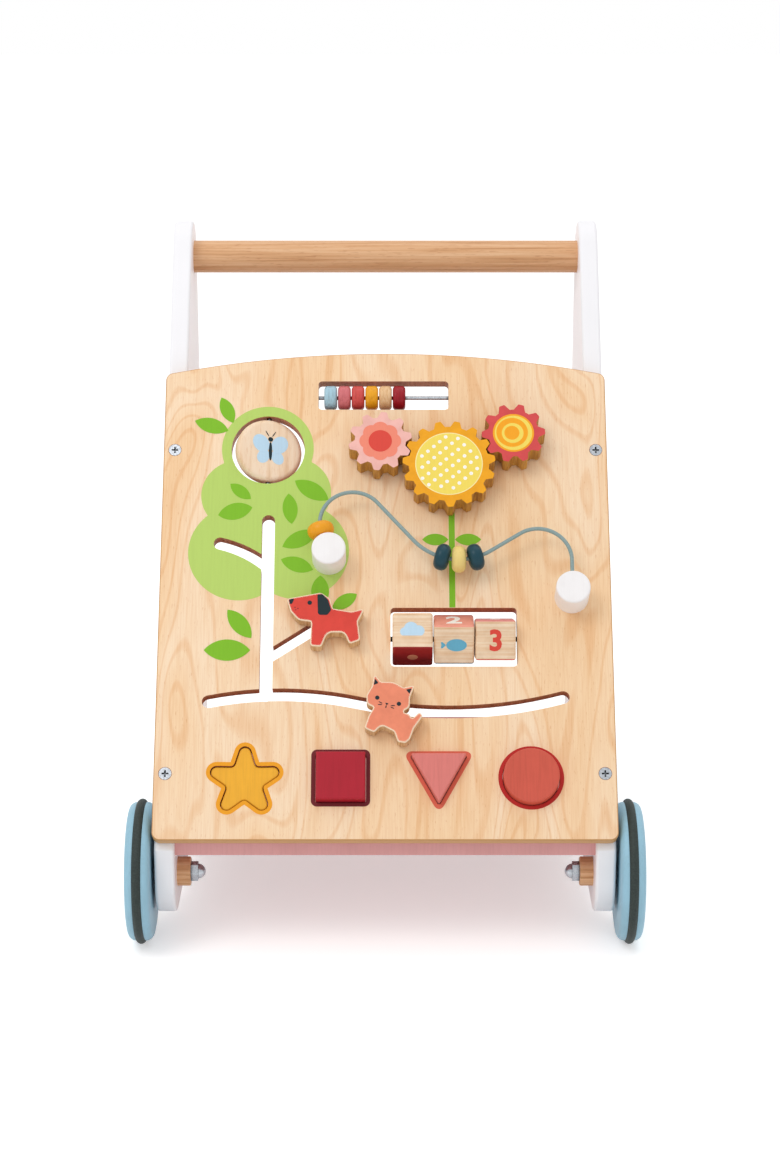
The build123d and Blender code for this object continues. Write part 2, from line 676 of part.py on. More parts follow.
def gear_centres():
    """Middle of each gear: two small ones in mesh with the big one."""
    return {
        "yellow": BIG_GEAR_CENTRE,
        "pink": polar(BIG_GEAR_CENTRE, GEAR_DISTANCE, PINK_GEAR_DIRECTION),
        "red": polar(BIG_GEAR_CENTRE, GEAR_DISTANCE, RED_GEAR_DIRECTION),
    }


def small_gear_phase(direction):
    """Angle of a small gear's tooth, so that its gap takes the big gear's tooth."""
    lead = BIG_GEAR_PHASE - direction
    gap = direction + 180 - lead * BIG_TEETH / SMALL_TEETH
    return gap + 180 / SMALL_TEETH


def gear_outline(teeth):
    """Toothed wheel outline with a tooth on the X axis and straight, slanting flanks."""
    pitch_radius = GEAR_MODULE * teeth / 2
    root = pitch_radius - GEAR_DEDENDUM
    tip = pitch_radius + GEAR_ADDENDUM
    half_thickness = (pi * GEAR_MODULE / 2 - GEAR_BACKLASH) / 2
    slant = sin(radians(GEAR_FLANK)) / cos(radians(GEAR_FLANK))
    tip_half = half_thickness - GEAR_ADDENDUM * slant
    foot = root - GEAR_TOOTH_ROOTING
    foot_half = half_thickness + (pitch_radius - foot) * slant
    corners = ((foot, -foot_half), (tip, -tip_half), (tip, tip_half), (foot, foot_half))
    tooth = make_face(Polyline(*corners, close=True))
    tips = tooth.vertices().group_by(Axis.X)[-1]
    tooth = fillet(tips, GEAR_TIP_RADIUS)
    outline = Circle(root)
    outline += [Rot(0, 0, 360 / teeth * index) * tooth for index in range(teeth)]
    return outline


def gear(name):
    """Wooden gear with a blind hole behind for its shaft."""
    teeth = BIG_TEETH if name == "yellow" else SMALL_TEETH
    phases = {
        "yellow": BIG_GEAR_PHASE,
        "pink": small_gear_phase(PINK_GEAR_DIRECTION),
        "red": small_gear_phase(RED_GEAR_DIRECTION),
    }
    disc = extrude(Rot(0, 0, phases[name]) * gear_outline(teeth), GEAR_THICKNESS)
    disc -= Cylinder(GEAR_SHAFT_DIAMETER / 2 + FIT, 2 * GEAR_SHAFT_DEPTH)
    centre = gear_centres()[name]
    return on_panel(placed(disc, centre[0], centre[1], GEAR_GAP))


def gear_shaft(name):
    """Gear's shaft through the panel, with the flange that keeps it there."""
    flange_top = -PANEL_THICKNESS - GEAR_FLANGE_GAP
    flange_bottom = flange_top - GEAR_FLANGE_THICKNESS
    top = GEAR_GAP + GEAR_SHAFT_DEPTH - FIT
    shaft = z_cylinder(GEAR_SHAFT_DIAMETER, flange_bottom, top)
    shaft += z_cylinder(GEAR_FLANGE_DIAMETER, flange_bottom, flange_top)
    return on_panel(placed(shaft, *gear_centres()[name]))


# Bead wire


def left_arch_radius():
    """Left arch, as large as the leg that runs into it allows."""
    across = LEFT_ARCH_CENTRE[0] - LEFT_POST[0]
    rise = LEFT_ARCH_CENTRE[1] - LEFT_POST[1]
    return across * sin(radians(LEFT_LEG_DIRECTION)) - rise * cos(radians(LEFT_LEG_DIRECTION))


def right_post():
    """Middle of the right post, under the wire's last leg."""
    return (RIGHT_ARCH_CENTRE[0] + RIGHT_ARCH_RADIUS, RIGHT_ARCH_CENTRE[1] - RIGHT_LEG_LENGTH)


def crossing_angle(start, start_radius, end, end_radius, turn):
    """Angle at which a line leaves one circle to reach the far side of the next."""
    run = (end[0] - start[0], end[1] - start[1])
    spread = degrees(acos((start_radius + end_radius) / hypot(*run)))
    return degrees(atan2(run[1], run[0])) + turn * spread


def wire_path():
    """Wire's centre line: out of the left post, over an arch, down a valley, over an arch."""
    arch_radius = left_arch_radius()
    leave_arch = crossing_angle(LEFT_ARCH_CENTRE, arch_radius, VALLEY_CENTRE, VALLEY_RADIUS, 1)
    leave_valley = crossing_angle(VALLEY_CENTRE, VALLEY_RADIUS, RIGHT_ARCH_CENTRE, RIGHT_ARCH_RADIUS, -1)
    enter_arch = LEFT_LEG_DIRECTION + 90
    start = polar(LEFT_POST, POST_DIAMETER / 2 - WIRE_SEAT, LEFT_LEG_DIRECTION)
    bottom = right_post()
    end = (bottom[0], bottom[1] + POST_DIAMETER / 2 - WIRE_SEAT)
    first = Line(start, polar(LEFT_ARCH_CENTRE, arch_radius, enter_arch))
    arch = CenterArc(LEFT_ARCH_CENTRE, arch_radius, enter_arch, leave_arch - enter_arch)
    slope = Line(arch @ 1, polar(VALLEY_CENTRE, VALLEY_RADIUS, leave_arch + 180))
    valley = CenterArc(VALLEY_CENTRE, VALLEY_RADIUS, leave_arch + 180, leave_valley + 180 - leave_arch)
    climb = Line(valley @ 1, polar(RIGHT_ARCH_CENTRE, RIGHT_ARCH_RADIUS, leave_valley + 180))
    last_arch = CenterArc(RIGHT_ARCH_CENTRE, RIGHT_ARCH_RADIUS, leave_valley + 180, -leave_valley - 180)
    last = Line(last_arch @ 1, end)
    return first + arch + slope + valley + climb + last_arch + last


def local_wire(spare=0.0):
    """The wire, or with spare the space that its ends take in the posts."""
    path = wire_path()
    section = Plane(origin=path @ 0, z_dir=path % 0) * Circle((WIRE_DIAMETER + spare) / 2)
    return Pos(0, 0, WIRE_HEIGHT) * sweep(section, path=path)


def wire_post(centre):
    """White wooden post with a hole in its side for the wire's end."""
    post = z_cylinder(POST_DIAMETER, 0, POST_HEIGHT)
    post = fillet(post.edges().group_by(Axis.Z)[-1], POST_EDGE_RADIUS)
    post = on_panel(placed(post, *centre) - local_wire(2 * FIT))
    return post - holes(post_screw_places(), POST_SCREW_LENGTH)


def wire_bead(centre, radius, angle):
    """Bead threaded on an arc of the wire at an angle of that arc."""
    bead = rounded_bead(WIRE_BEAD_DIAMETER, WIRE_BEAD_THICKNESS, WIRE_BEAD_BORE, WIRE_BEAD_EDGE_RADIUS)
    place = polar(centre, radius, angle)
    return on_panel(placed(Rot(0, 0, angle + 90) * bead, place[0], place[1], WIRE_HEIGHT))


def first_bead_angle():
    """Where the bead that leans on the left post sits on the left arch."""
    out = POST_DIAMETER / 2 + WIRE_BEAD_REST_GAP + WIRE_BEAD_THICKNESS / 2
    across = LEFT_ARCH_CENTRE[0] - LEFT_POST[0]
    rise = LEFT_ARCH_CENTRE[1] - LEFT_POST[1]
    leg = across * cos(radians(LEFT_LEG_DIRECTION)) + rise * sin(radians(LEFT_LEG_DIRECTION))
    return LEFT_LEG_DIRECTION + 90 - degrees((out - leg) / left_arch_radius())


# Animals on pegs


def rounded_face(corners):
    """Face with straight sides and a radius of its own at each corner."""
    face = make_face(Polyline(*[(across, up) for across, up, radius in corners], close=True))
    for across, up, radius in corners:
        corner = face.vertices().sort_by_distance((across, up, 0))[0]
        face = fillet(corner, radius)
    return face


def figure(corners, thickness, tilt, peg):
    """Flat wooden animal that turns on its peg."""
    body = extrude(Rot(0, 0, tilt) * rounded_face(corners), thickness)
    body = fillet(body.edges().filter_by(Plane.XY), FIGURE_EDGE_RADIUS)
    body -= Cylinder(PEG_DIAMETER / 2 + TURN_CLEARANCE, 2 * (PEG_DEPTH + RUNNING_GAP))
    return on_panel(placed(body, peg[0], peg[1], FIGURE_GAP))


def guide_peg(peg):
    """Peg through the slot, with the disc that keeps it there behind the panel."""
    top = FIGURE_GAP + PEG_DEPTH
    disc_top = -PANEL_THICKNESS - GEAR_FLANGE_GAP
    disc_bottom = disc_top - PEG_DISC_THICKNESS
    pin = z_cylinder(PEG_DIAMETER, disc_bottom, top)
    pin += z_cylinder(PEG_DISC_DIAMETER, disc_bottom, disc_top)
    return on_panel(placed(pin, *peg))


# Shape blocks


def star_outline():
    """Five-pointed star with round tips."""
    points = []
    for index in range(10):
        radius = STAR_RADIUS - STAR_TIP_RADIUS if index % 2 == 0 else STAR_INNER_RADIUS - STAR_TIP_RADIUS
        points.append(polar(STAR_CENTRE, radius, 90 + 36 * index))
    return offset(make_face(Polyline(*points, close=True)), STAR_TIP_RADIUS)


def triangle_outline():
    """Triangle with round corners, point down."""
    half = TRIANGLE_WIDTH / 2 - SHAPE_CORNER_RADIUS
    rise = TRIANGLE_HEIGHT / 2 - SHAPE_CORNER_RADIUS
    points = ((-half, rise), (half, rise), (0, -rise))
    return Pos(*TRIANGLE_CENTRE) * offset(make_face(Polyline(*points, close=True)), SHAPE_CORNER_RADIUS)


def shape_outlines():
    """Outer edge of the painted rim round each shape hole."""
    return {
        "star": star_outline(),
        "square": Pos(*SQUARE_CENTRE) * RectangleRounded(SQUARE_SIZE, SQUARE_SIZE, SHAPE_CORNER_RADIUS),
        "triangle": triangle_outline(),
        "circle": Pos(*CIRCLE_CENTRE) * Circle(CIRCLE_DIAMETER / 2),
    }


def shape_block(name):
    """Wooden block that fits its hole in the panel."""
    face = offset(shape_outlines()[name], -SHAPE_RIM - SHAPE_CLEARANCE)
    top = -STAR_SINK if name == "star" else SHAPE_PROUD
    block = extrude(face, SHAPE_HEIGHT)
    block = fillet(block.edges().filter_by(Plane.XY), SHAPE_EDGE_RADIUS)
    return on_panel(Pos(0, 0, top - SHAPE_HEIGHT) * block)


def pieces():
    """Every piece of the walker by name."""
    made = {
        "side_board_left": side_board(-1),
        "side_board_right": side_board(1),
        "activity_panel": activity_panel(),
        "base_shelf": base_shelf(),
        "shelf_rail": shelf_rail(),
        "handle_bar": handle_bar(),
        "panel_screws": Compound(children=[place * screw(SCREW_LENGTH) for place in panel_screw_places()]),
        "side_screws": Compound(children=[place * screw(SCREW_LENGTH) for place in side_screw_places()]),
        "post_screws": Compound(children=[place * screw(POST_SCREW_LENGTH) for place in post_screw_places()]),
        "axle_bolts": at_every_axle(axle_bolt()),
        "axle_washers": at_every_axle(axle_washer()),
        "axle_spacers": at_every_axle(axle_spacer()),
        "axle_nuts": at_every_axle(axle_nut()),
        "bead_wire": on_panel(local_wire()),
        "wire_post_left": wire_post(LEFT_POST),
        "wire_post_right": wire_post(right_post()),
        "spinning_disc": spinning_disc(),
        "dog_figure": figure(DOG_CORNERS, DOG_THICKNESS, 0, DOG_PEG),
        "dog_peg": guide_peg(DOG_PEG),
        "cat_figure": figure(CAT_CORNERS, CAT_THICKNESS, CAT_TILT, CAT_PEG),
        "cat_peg": guide_peg(CAT_PEG),
        "wire_bead_yellow": wire_bead(LEFT_ARCH_CENTRE, left_arch_radius(), first_bead_angle()),
    }
    for name in RODS:
        made[name] = on_panel(local_rod(name))
    for index in range(BEAD_COUNT):
        made[f"abacus_bead_{index + 1}"] = abacus_bead(index)
    for index in range(3):
        made[f"cube_{index + 1}"] = turning_cube(index)
        angle = 270 + (index - 1) * WIRE_BEAD_STEP
        made[f"wire_bead_{index + 1}"] = wire_bead(VALLEY_CENTRE, VALLEY_RADIUS, angle)
    for name in gear_centres():
        made[f"gear_{name}"] = gear(name)
        made[f"gear_shaft_{name}"] = gear_shaft(name)
    for name in shape_outlines():
        made[f"block_{name}"] = shape_block(name)
    corner_names = {(-1, FRONT_AXLE): "front_left", (1, FRONT_AXLE): "front_right"}
    corner_names |= {(-1, REAR_AXLE): "rear_left", (1, REAR_AXLE): "rear_right"}
    for (side, reach), corner in corner_names.items():
        made[f"wheel_{corner}"] = at_axle(wheel(), side, reach)
        made[f"tyre_{corner}"] = at_axle(tyre(), side, reach)
    return made


def main():
    os.makedirs("parts", exist_ok=True)
    for name, shape in pieces().items():
        export_step(shape, f"parts/{name}.step")


if __name__ == "__main__":
    main()
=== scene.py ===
import json
import math

import bmesh
import bpy
from mathutils import Matrix, Vector


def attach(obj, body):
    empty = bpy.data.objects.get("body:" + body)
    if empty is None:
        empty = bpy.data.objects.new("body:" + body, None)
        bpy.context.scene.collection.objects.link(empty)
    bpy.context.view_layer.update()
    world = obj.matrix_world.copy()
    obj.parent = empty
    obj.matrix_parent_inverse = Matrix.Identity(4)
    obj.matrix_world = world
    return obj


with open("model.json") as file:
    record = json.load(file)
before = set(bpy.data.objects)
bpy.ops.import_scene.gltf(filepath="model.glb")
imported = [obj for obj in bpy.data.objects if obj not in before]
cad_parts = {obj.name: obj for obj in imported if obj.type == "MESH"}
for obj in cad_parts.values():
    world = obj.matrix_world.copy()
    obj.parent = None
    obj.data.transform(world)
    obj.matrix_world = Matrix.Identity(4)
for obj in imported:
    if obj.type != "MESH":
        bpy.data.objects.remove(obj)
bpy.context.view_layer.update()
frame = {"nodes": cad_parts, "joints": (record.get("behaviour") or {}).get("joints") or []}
nodes = frame["nodes"]
pivots = {joint["name"]: joint.get("pos_m") for joint in frame["joints"]}

MM = 0.001

# The activity panel's own plane: X across, Y up the slope, Z out of its front face
PANEL_TURN = Matrix.Rotation(math.radians(52), 4, "X")
PANEL = Matrix.Translation((0, -0.1896, 0.0944)) @ PANEL_TURN

# Bounds that tell the panel's cut walls from its faces and outer edges, in millimetres
WALL_MIDDLE_DEPTH = -5.0
WALL_HALF_DEPTH = 4.97
INNER_HALF_WIDTH = 170.0
INNER_MIDDLE_UP = 188.5
INNER_HALF_UP = 185.5
PLY_PAIR = 4.0

# Half the distance across, inside which a side board looks at the tray
TRAY_HALF_WIDTH = 156.5

# Heights of the painted fronts over the panel's face, in millimetres
GEAR_FRONT = 19.0
DOG_FRONT = 13.5
CAT_FRONT = 13.0
DISC_FRONT = 6.0
CUBE_FRONT = 15.25
CUBE_PAINT_EDGE = 14.1
RIM_WIDTH = 1.6
PRINT_DEPTH = 0.12
PRINT_SINK = 0.05
KEEPER_SPARE = 1.0

# How far the disc and each cube are turned on their rods, in degrees
DISC_TURN = 17.0
CUBE_TURNS = (7.7, -36.5, -22.3)


def turned(degrees, axis):
    """Turn about one axis."""
    return Matrix.Rotation(math.radians(degrees), 4, axis)


def on_pivot(joint):
    """Place at a joint of the board, lying as the panel lies."""
    return Matrix.Translation(pivots[joint]) @ PANEL_TURN


disc_seat = on_pivot("disc_spin") @ turned(DISC_TURN, "Y")
cube_seats = [on_pivot(f"cube_{i + 1}_turn") @ turned(-turn, "X") for i, turn in enumerate(CUBE_TURNS)]


# Materials

# Sockets of a mix node that take its factor and its two colours, and how the node mixes them
FACTOR, UNDER, OVER = 0, 6, 7
MIXED = {"data_type": "RGBA"}
MULTIPLIED = {"data_type": "RGBA", "blend_type": "MULTIPLY"}

# Noise roughness of wood fibres and of soft patches
FIBRE_ROUGHNESS = 0.55
PATCH_ROUGHNESS = 0.6

# Growth lines over the whole range of the birch's figure, in radians of a sine
GROWTH_LINES = 75.0

# Cosine of the lean past which a cut-out's face is bare rim, and how deep the rim and the paint go
RIM_LEAN = 0.985
RIM_DEPTH = 1.0
PAINT_DEPTH = 0.04


def linear(code):
    """Linear colour of an sRGB hex value."""
    parts = [int(code[i:i + 2], 16) / 255 for i in (0, 2, 4)]
    return [c / 12.92 if c <= 0.04045 else ((c + 0.055) / 1.055) ** 2.4 for c in parts] + [1.0]


def per_metre(size_mm):
    """Texture scale whose features repeat about once every size_mm."""
    return 1000.0 / size_mm


def add(tree, kind, inputs=None, stops=(), **settings):
    """Add a node with its settings and links, and give its output.

    A socket among the inputs is linked, a hex value is a colour, and stops fill a colour ramp.
    """
    made = tree.nodes.new(kind)
    for key, value in settings.items():
        setattr(made, key, value)
    for key, value in (inputs or {}).items():
        if isinstance(value, bpy.types.NodeSocket):
            tree.links.new(value, made.inputs[key])
        else:
            made.inputs[key].default_value = linear(value) if isinstance(value, str) else value
    for index, (position, code) in enumerate(stops):
        elements = made.color_ramp.elements
        element = elements[index] if index < 2 else elements.new(position)
        element.position = position
        element.color = linear(code)
    return next(socket for socket in made.outputs if socket.enabled)


def start(name, roughness, specular=0.22, seat=None):
    """New material with its gloss: the material, its node tree, and coordinates as the piece is seated."""
    material = bpy.data.materials.new(name)
    material.use_nodes = True
    tree = material.node_tree
    shader = tree.nodes["Principled BSDF"]
    shader.inputs["Roughness"].default_value = roughness
    shader.inputs["Specular IOR Level"].default_value = specular
    place = add(tree, "ShaderNodeTexCoord").node.outputs["Object"]
    if seat:
        inputs = {"Vector": place, "Location": seat.translation, "Rotation": seat.to_euler()}
        place = add(tree, "ShaderNodeMapping", inputs, vector_type="TEXTURE")
    return material, tree, place


def surface(tree, colour, relief, strength, depth_mm):
    """Give the shader its colour and a fine relief."""
    shader = tree.nodes["Principled BSDF"]
    inputs = {"Height": relief, "Strength": strength, "Distance": depth_mm * MM}
    tree.links.new(colour, shader.inputs["Base Color"])
    tree.links.new(add(tree, "ShaderNodeBump", inputs), shader.inputs["Normal"])


def fibres(tree, place, across_mm, along_mm, along, detail=3.0, distortion=0.0):
    """Noise drawn out along one axis, as wood fibres are."""
    scale = [per_metre(across_mm)] * 3
    scale["XYZ".index(along)] = per_metre(along_mm)
    drawn = add(tree, "ShaderNodeMapping", {"Vector": place, "Scale": scale})
    inputs = {"Vector": drawn, "Scale": 1.0, "Detail": detail, "Distortion": distortion}
    inputs["Roughness"] = FIBRE_ROUGHNESS
    return add(tree, "ShaderNodeTexNoise", inputs)


def birch_plywood():
    """Rotary-cut birch plywood under clear satin lacquer: pale pinkish honey with a broad wavy
    figure and soft streaks up the board, short flecks, browned cut walls and striped outer edges."""
    material, tree, place = start("lacquered_birch_plywood", 0.5, 0.25, PANEL)
    figure = fibres(tree, place, 62, 240, "Y", 1.0, 0.7)
    streaks = fibres(tree, place, 9, 150, "Y", 3.0, 0.5)
    threads = fibres(tree, place, 1.2, 32, "Y", 2.0, 0.2)
    flecks = fibres(tree, place, 0.9, 6, "Y", 1.0)
    tones = [(0.30, "F4CDA0"), (0.45, "F8D7B0"), (0.57, "FADFBF"), (0.72, "F7D4AB")]
    face = add(tree, "ShaderNodeValToRGB", {"Fac": figure}, tones)
    # Growth lines follow the figure's contours
    waves = add(tree, "ShaderNodeMath", {0: figure, 1: GROWTH_LINES}, operation="MULTIPLY")
    waves = add(tree, "ShaderNodeMath", {0: waves}, operation="SINE")
    lines = add(tree, "ShaderNodeValToRGB", {"Fac": waves}, [(0.55, "FFFFFF"), (1.0, "EBC79C")])
    face = add(tree, "ShaderNodeMix", {FACTOR: 0.34, UNDER: face, OVER: lines}, **MULTIPLIED)
    soft = add(tree, "ShaderNodeValToRGB", {"Fac": streaks}, [(0.3, "EFD0A8"), (0.58, "FFFFFF")])
    face = add(tree, "ShaderNodeMix", {FACTOR: 0.15, UNDER: face, OVER: soft}, **MULTIPLIED)
    fine = add(tree, "ShaderNodeValToRGB", {"Fac": threads}, [(0.35, "E6C69E"), (0.6, "FFFFFF")])
    face = add(tree, "ShaderNodeMix", {FACTOR: 0.24, UNDER: face, OVER: fine}, **MULTIPLIED)
    specks = add(tree, "ShaderNodeValToRGB", {"Fac": flecks}, [(0.67, "FFFFFF"), (0.71, "D9A878")])
    face = add(tree, "ShaderNodeMix", {FACTOR: 0.3, UNDER: face, OVER: specks}, **MULTIPLIED)
    # Five plies through the thickness show on the outer edges
    axes = add(tree, "ShaderNodeSeparateXYZ", {"Vector": place}).node.outputs
    depth = add(tree, "ShaderNodeMath", {0: axes["Z"], 1: per_metre(PLY_PAIR)}, operation="MULTIPLY")
    layer = add(tree, "ShaderNodeMath", {0: depth}, operation="FRACT")
    tones = [(0.0, "D6A873"), (0.45, "E0B684"), (0.5, "BE8C58"), (1.0, "CA9863")]
    plies = add(tree, "ShaderNodeValToRGB", {"Fac": layer}, tones)
    # The walls of slots and windows are browned by the cutter
    burn = fibres(tree, place, 2.2, 14, "Z")
    tones = [(0.3, "A3623F"), (0.55, "BA7650"), (0.75, "C88A60")]
    cut = add(tree, "ShaderNodeValToRGB", {"Fac": burn}, tones)
    bounds = {0: axes["X"], 1: 0.0, 2: INNER_HALF_WIDTH * MM}
    across = add(tree, "ShaderNodeMath", bounds, operation="COMPARE")
    bounds = {0: axes["Y"], 1: INNER_MIDDLE_UP * MM, 2: INNER_HALF_UP * MM}
    along = add(tree, "ShaderNodeMath", bounds, operation="COMPARE")
    inner = add(tree, "ShaderNodeMath", {0: across, 1: along}, operation="MULTIPLY")
    wall = add(tree, "ShaderNodeMix", {FACTOR: inner, UNDER: plies, OVER: cut}, **MIXED)
    bounds = {0: axes["Z"], 1: WALL_MIDDLE_DEPTH * MM, 2: WALL_HALF_DEPTH * MM}
    within = add(tree, "ShaderNodeMath", bounds, operation="COMPARE")
    colour = add(tree, "ShaderNodeMix", {FACTOR: within, UNDER: face, OVER: wall}, **MIXED)
    surface(tree, colour, streaks, 0.1, 0.12)
    return material


def lacquered_wood(name, pale, middle, dark, line_mm, length_mm, along="X", seat=None):
    """Solid hardwood under thin clear lacquer: long fibres, darker growth lines and short pores."""
    material, tree, place = start(name, 0.45, 0.25, seat)
    lines = fibres(tree, place, line_mm, length_mm, along, 4.0, 0.3)
    pores = fibres(tree, place, 0.7, 9, along, 1.0)
    colour = add(tree, "ShaderNodeValToRGB", {"Fac": lines}, [(0.28, dark), (0.46, middle), (0.68, pale)])
    specks = add(tree, "ShaderNodeValToRGB", {"Fac": pores}, [(0.63, "FFFFFF"), (0.68, dark)])
    layers = {FACTOR: 0.3, UNDER: colour, OVER: specks}
    colour = add(tree, "ShaderNodeMix", layers, **MULTIPLIED)
    surface(tree, colour, lines, 0.15, 0.1)
    return material


def cube_wood(name, seat, upper, lower):
    """Bare maple cube with straight grain across, painted above and below up to the rounded edges."""
    material, tree, place = start(name, 0.5, 0.22, seat)
    lines = fibres(tree, place, 2.3, 70, "X", 3.0, 0.2)
    tones = [(0.30, "DDB48C"), (0.44, "EDCBA6"), (0.62, "F4DCC0")]
    colour = add(tree, "ShaderNodeValToRGB", {"Fac": lines}, tones)
    height = add(tree, "ShaderNodeSeparateXYZ", {"Vector": place}).node.outputs["Y"]
    painted = (("GREATER_THAN", upper, CUBE_PAINT_EDGE), ("LESS_THAN", lower, -CUBE_PAINT_EDGE))
    for kind, paint, limit in painted:
        face = add(tree, "ShaderNodeMath", {0: height, 1: limit * MM}, operation=kind)
        colour = add(tree, "ShaderNodeMix", {FACTOR: face, UNDER: colour, OVER: paint}, **MIXED)
    inputs = {"Vector": place, "Scale": per_metre(12), "Detail": 3.0, "Roughness": PATCH_ROUGHNESS}
    patches = add(tree, "ShaderNodeTexNoise", inputs)
    worn = add(tree, "ShaderNodeValToRGB", {"Fac": patches}, [(0.3, "E6DCD2"), (0.6, "FFFFFF")])
    colour = add(tree, "ShaderNodeMix", {FACTOR: 0.5, UNDER: colour, OVER: worn}, **MULTIPLIED)
    surface(tree, colour, lines, 0.12, 0.1)
    return material


def toy_paint(name, colour, roughness=0.42, grain=0.25, seat=None):
    """Water-based toy paint on wood: even satin colour with the grain just showing through."""
    material, tree, place = start(name, roughness, 0.25, seat)
    lines = fibres(tree, place, 1.5, 30, "Y" if seat else "Z")
    inputs = {"Vector": place, "Scale": per_metre(35), "Detail": 3.0, "Roughness": PATCH_ROUGHNESS}
    patches = add(tree, "ShaderNodeTexNoise", inputs)
    clouds = add(tree, "ShaderNodeValToRGB", {"Fac": patches}, [(0.3, "EFECEA"), (0.65, "FFFFFF")])
    grained = add(tree, "ShaderNodeValToRGB", {"Fac": lines}, [(0.3, "CFC6C0"), (0.55, "FFFFFF")])
    layers = {FACTOR: grain, UNDER: clouds, OVER: grained}
    shade = add(tree, "ShaderNodeMix", layers, **MULTIPLIED)
    layers = {FACTOR: 0.6, UNDER: colour, OVER: shade}
    paint = add(tree, "ShaderNodeMix", layers, **MULTIPLIED)
    surface(tree, paint, lines, 0.1, 0.08)
    return material


def side_board_paint():
    """White satin paint on plywood; the faces that look at the tray are painted lighter and pinker, as
    painted bounce light from the pink tray.
    """
    material, tree, place = start("white_satin_paint", 0.4, 0.25)
    across = add(tree, "ShaderNodeSeparateXYZ", {"Vector": place}).node.outputs["X"]
    # Painted bounce light: faces inside the tray's width get a lighter, pinker white than the outer faces
    inner = add(tree, "ShaderNodeMath", {0: across, 1: 0.0, 2: TRAY_HALF_WIDTH * MM}, operation="COMPARE")
    inputs = {"Vector": place, "Scale": per_metre(60), "Detail": 2.0, "Roughness": PATCH_ROUGHNESS}
    clouds = add(tree, "ShaderNodeTexNoise", inputs)
    outer_tone = add(tree, "ShaderNodeValToRGB", {"Fac": clouds}, [(0.3, "F4F3F6"), (0.7, "F7F6F9")])
    bounce_lit_tone = add(tree, "ShaderNodeValToRGB", {"Fac": clouds}, [(0.3, "FEF8FA"), (0.7, "FFFBFC")])
    colour = add(tree, "ShaderNodeMix", {FACTOR: inner, UNDER: outer_tone, OVER: bounce_lit_tone}, **MIXED)
    surface(tree, colour, fibres(tree, place, 1.5, 60, "Z"), 0.06, 0.06)
    return material


def cut_out(name, colour, front_mm, side, side_dark, rim=None):
    """Sawn wooden cut-out with a painted front: bare sides browned by the saw.

    Where a rim colour is given, the paint stops short of the edge and leaves a pale line of bare wood.
    """
    material, tree, place = start(name, 0.45, 0.22, PANEL)
    height = add(tree, "ShaderNodeSeparateXYZ", {"Vector": place}).node.outputs["Z"]
    inputs = {"Vector": place, "Scale": per_metre(9), "Detail": 3.0, "Roughness": PATCH_ROUGHNESS}
    patches = add(tree, "ShaderNodeTexNoise", inputs)
    clouds = add(tree, "ShaderNodeValToRGB", {"Fac": patches}, [(0.3, "E9E4E2"), (0.65, "FFFFFF")])
    layers = {FACTOR: 0.6, UNDER: colour, OVER: clouds}
    paint = add(tree, "ShaderNodeMix", layers, **MULTIPLIED)
    saw = fibres(tree, place, 1.8, 22, "Z")
    sides = add(tree, "ShaderNodeValToRGB", {"Fac": saw}, [(0.32, side_dark), (0.6, side)])
    if rim:
        limit = (front_mm - RIM_DEPTH) * MM
        near = add(tree, "ShaderNodeMath", {0: height, 1: limit}, operation="GREATER_THAN")
        sides = add(tree, "ShaderNodeMix", {FACTOR: near, UNDER: sides, OVER: rim}, **MIXED)
    limit = (front_mm - PAINT_DEPTH) * MM
    front = add(tree, "ShaderNodeMath", {0: height, 1: limit}, operation="GREATER_THAN")
    if rim:
        # The rounded normal leans away from the face's own within the rim's width of an edge
        eased = add(tree, "ShaderNodeBevel", {"Radius": RIM_WIDTH * MM}, samples=8)
        own = add(tree, "ShaderNodeNewGeometry").node.outputs["True Normal"]
        lean = add(tree, "ShaderNodeVectorMath", {0: eased, 1: own}, operation="DOT_PRODUCT")
        flat = add(tree, "ShaderNodeMath", {0: lean, 1: RIM_LEAN}, operation="GREATER_THAN")
        front = add(tree, "ShaderNodeMath", {0: front, 1: flat}, operation="MULTIPLY")
    both = add(tree, "ShaderNodeMix", {FACTOR: front, UNDER: sides, OVER: paint}, **MIXED)
    surface(tree, both, fibres(tree, place, 1.2, 30, "Y"), 0.1, 0.08)
    return material


def print_ink(name, colour):
    """Silk-screened ink on wood: flat satin colour with the veneer's grain just felt."""
    material, tree, place = start(name, 0.5, 0.2, PANEL)
    lines = fibres(tree, place, 1.6, 35, "Y")
    shade = add(tree, "ShaderNodeValToRGB", {"Fac": lines}, [(0.3, "E2DEDA"), (0.6, "FFFFFF")])
    ink = add(tree, "ShaderNodeMix", {FACTOR: 0.15, UNDER: colour, OVER: shade}, **MULTIPLIED)
    surface(tree, ink, lines, 0.08, 0.06)
    return material


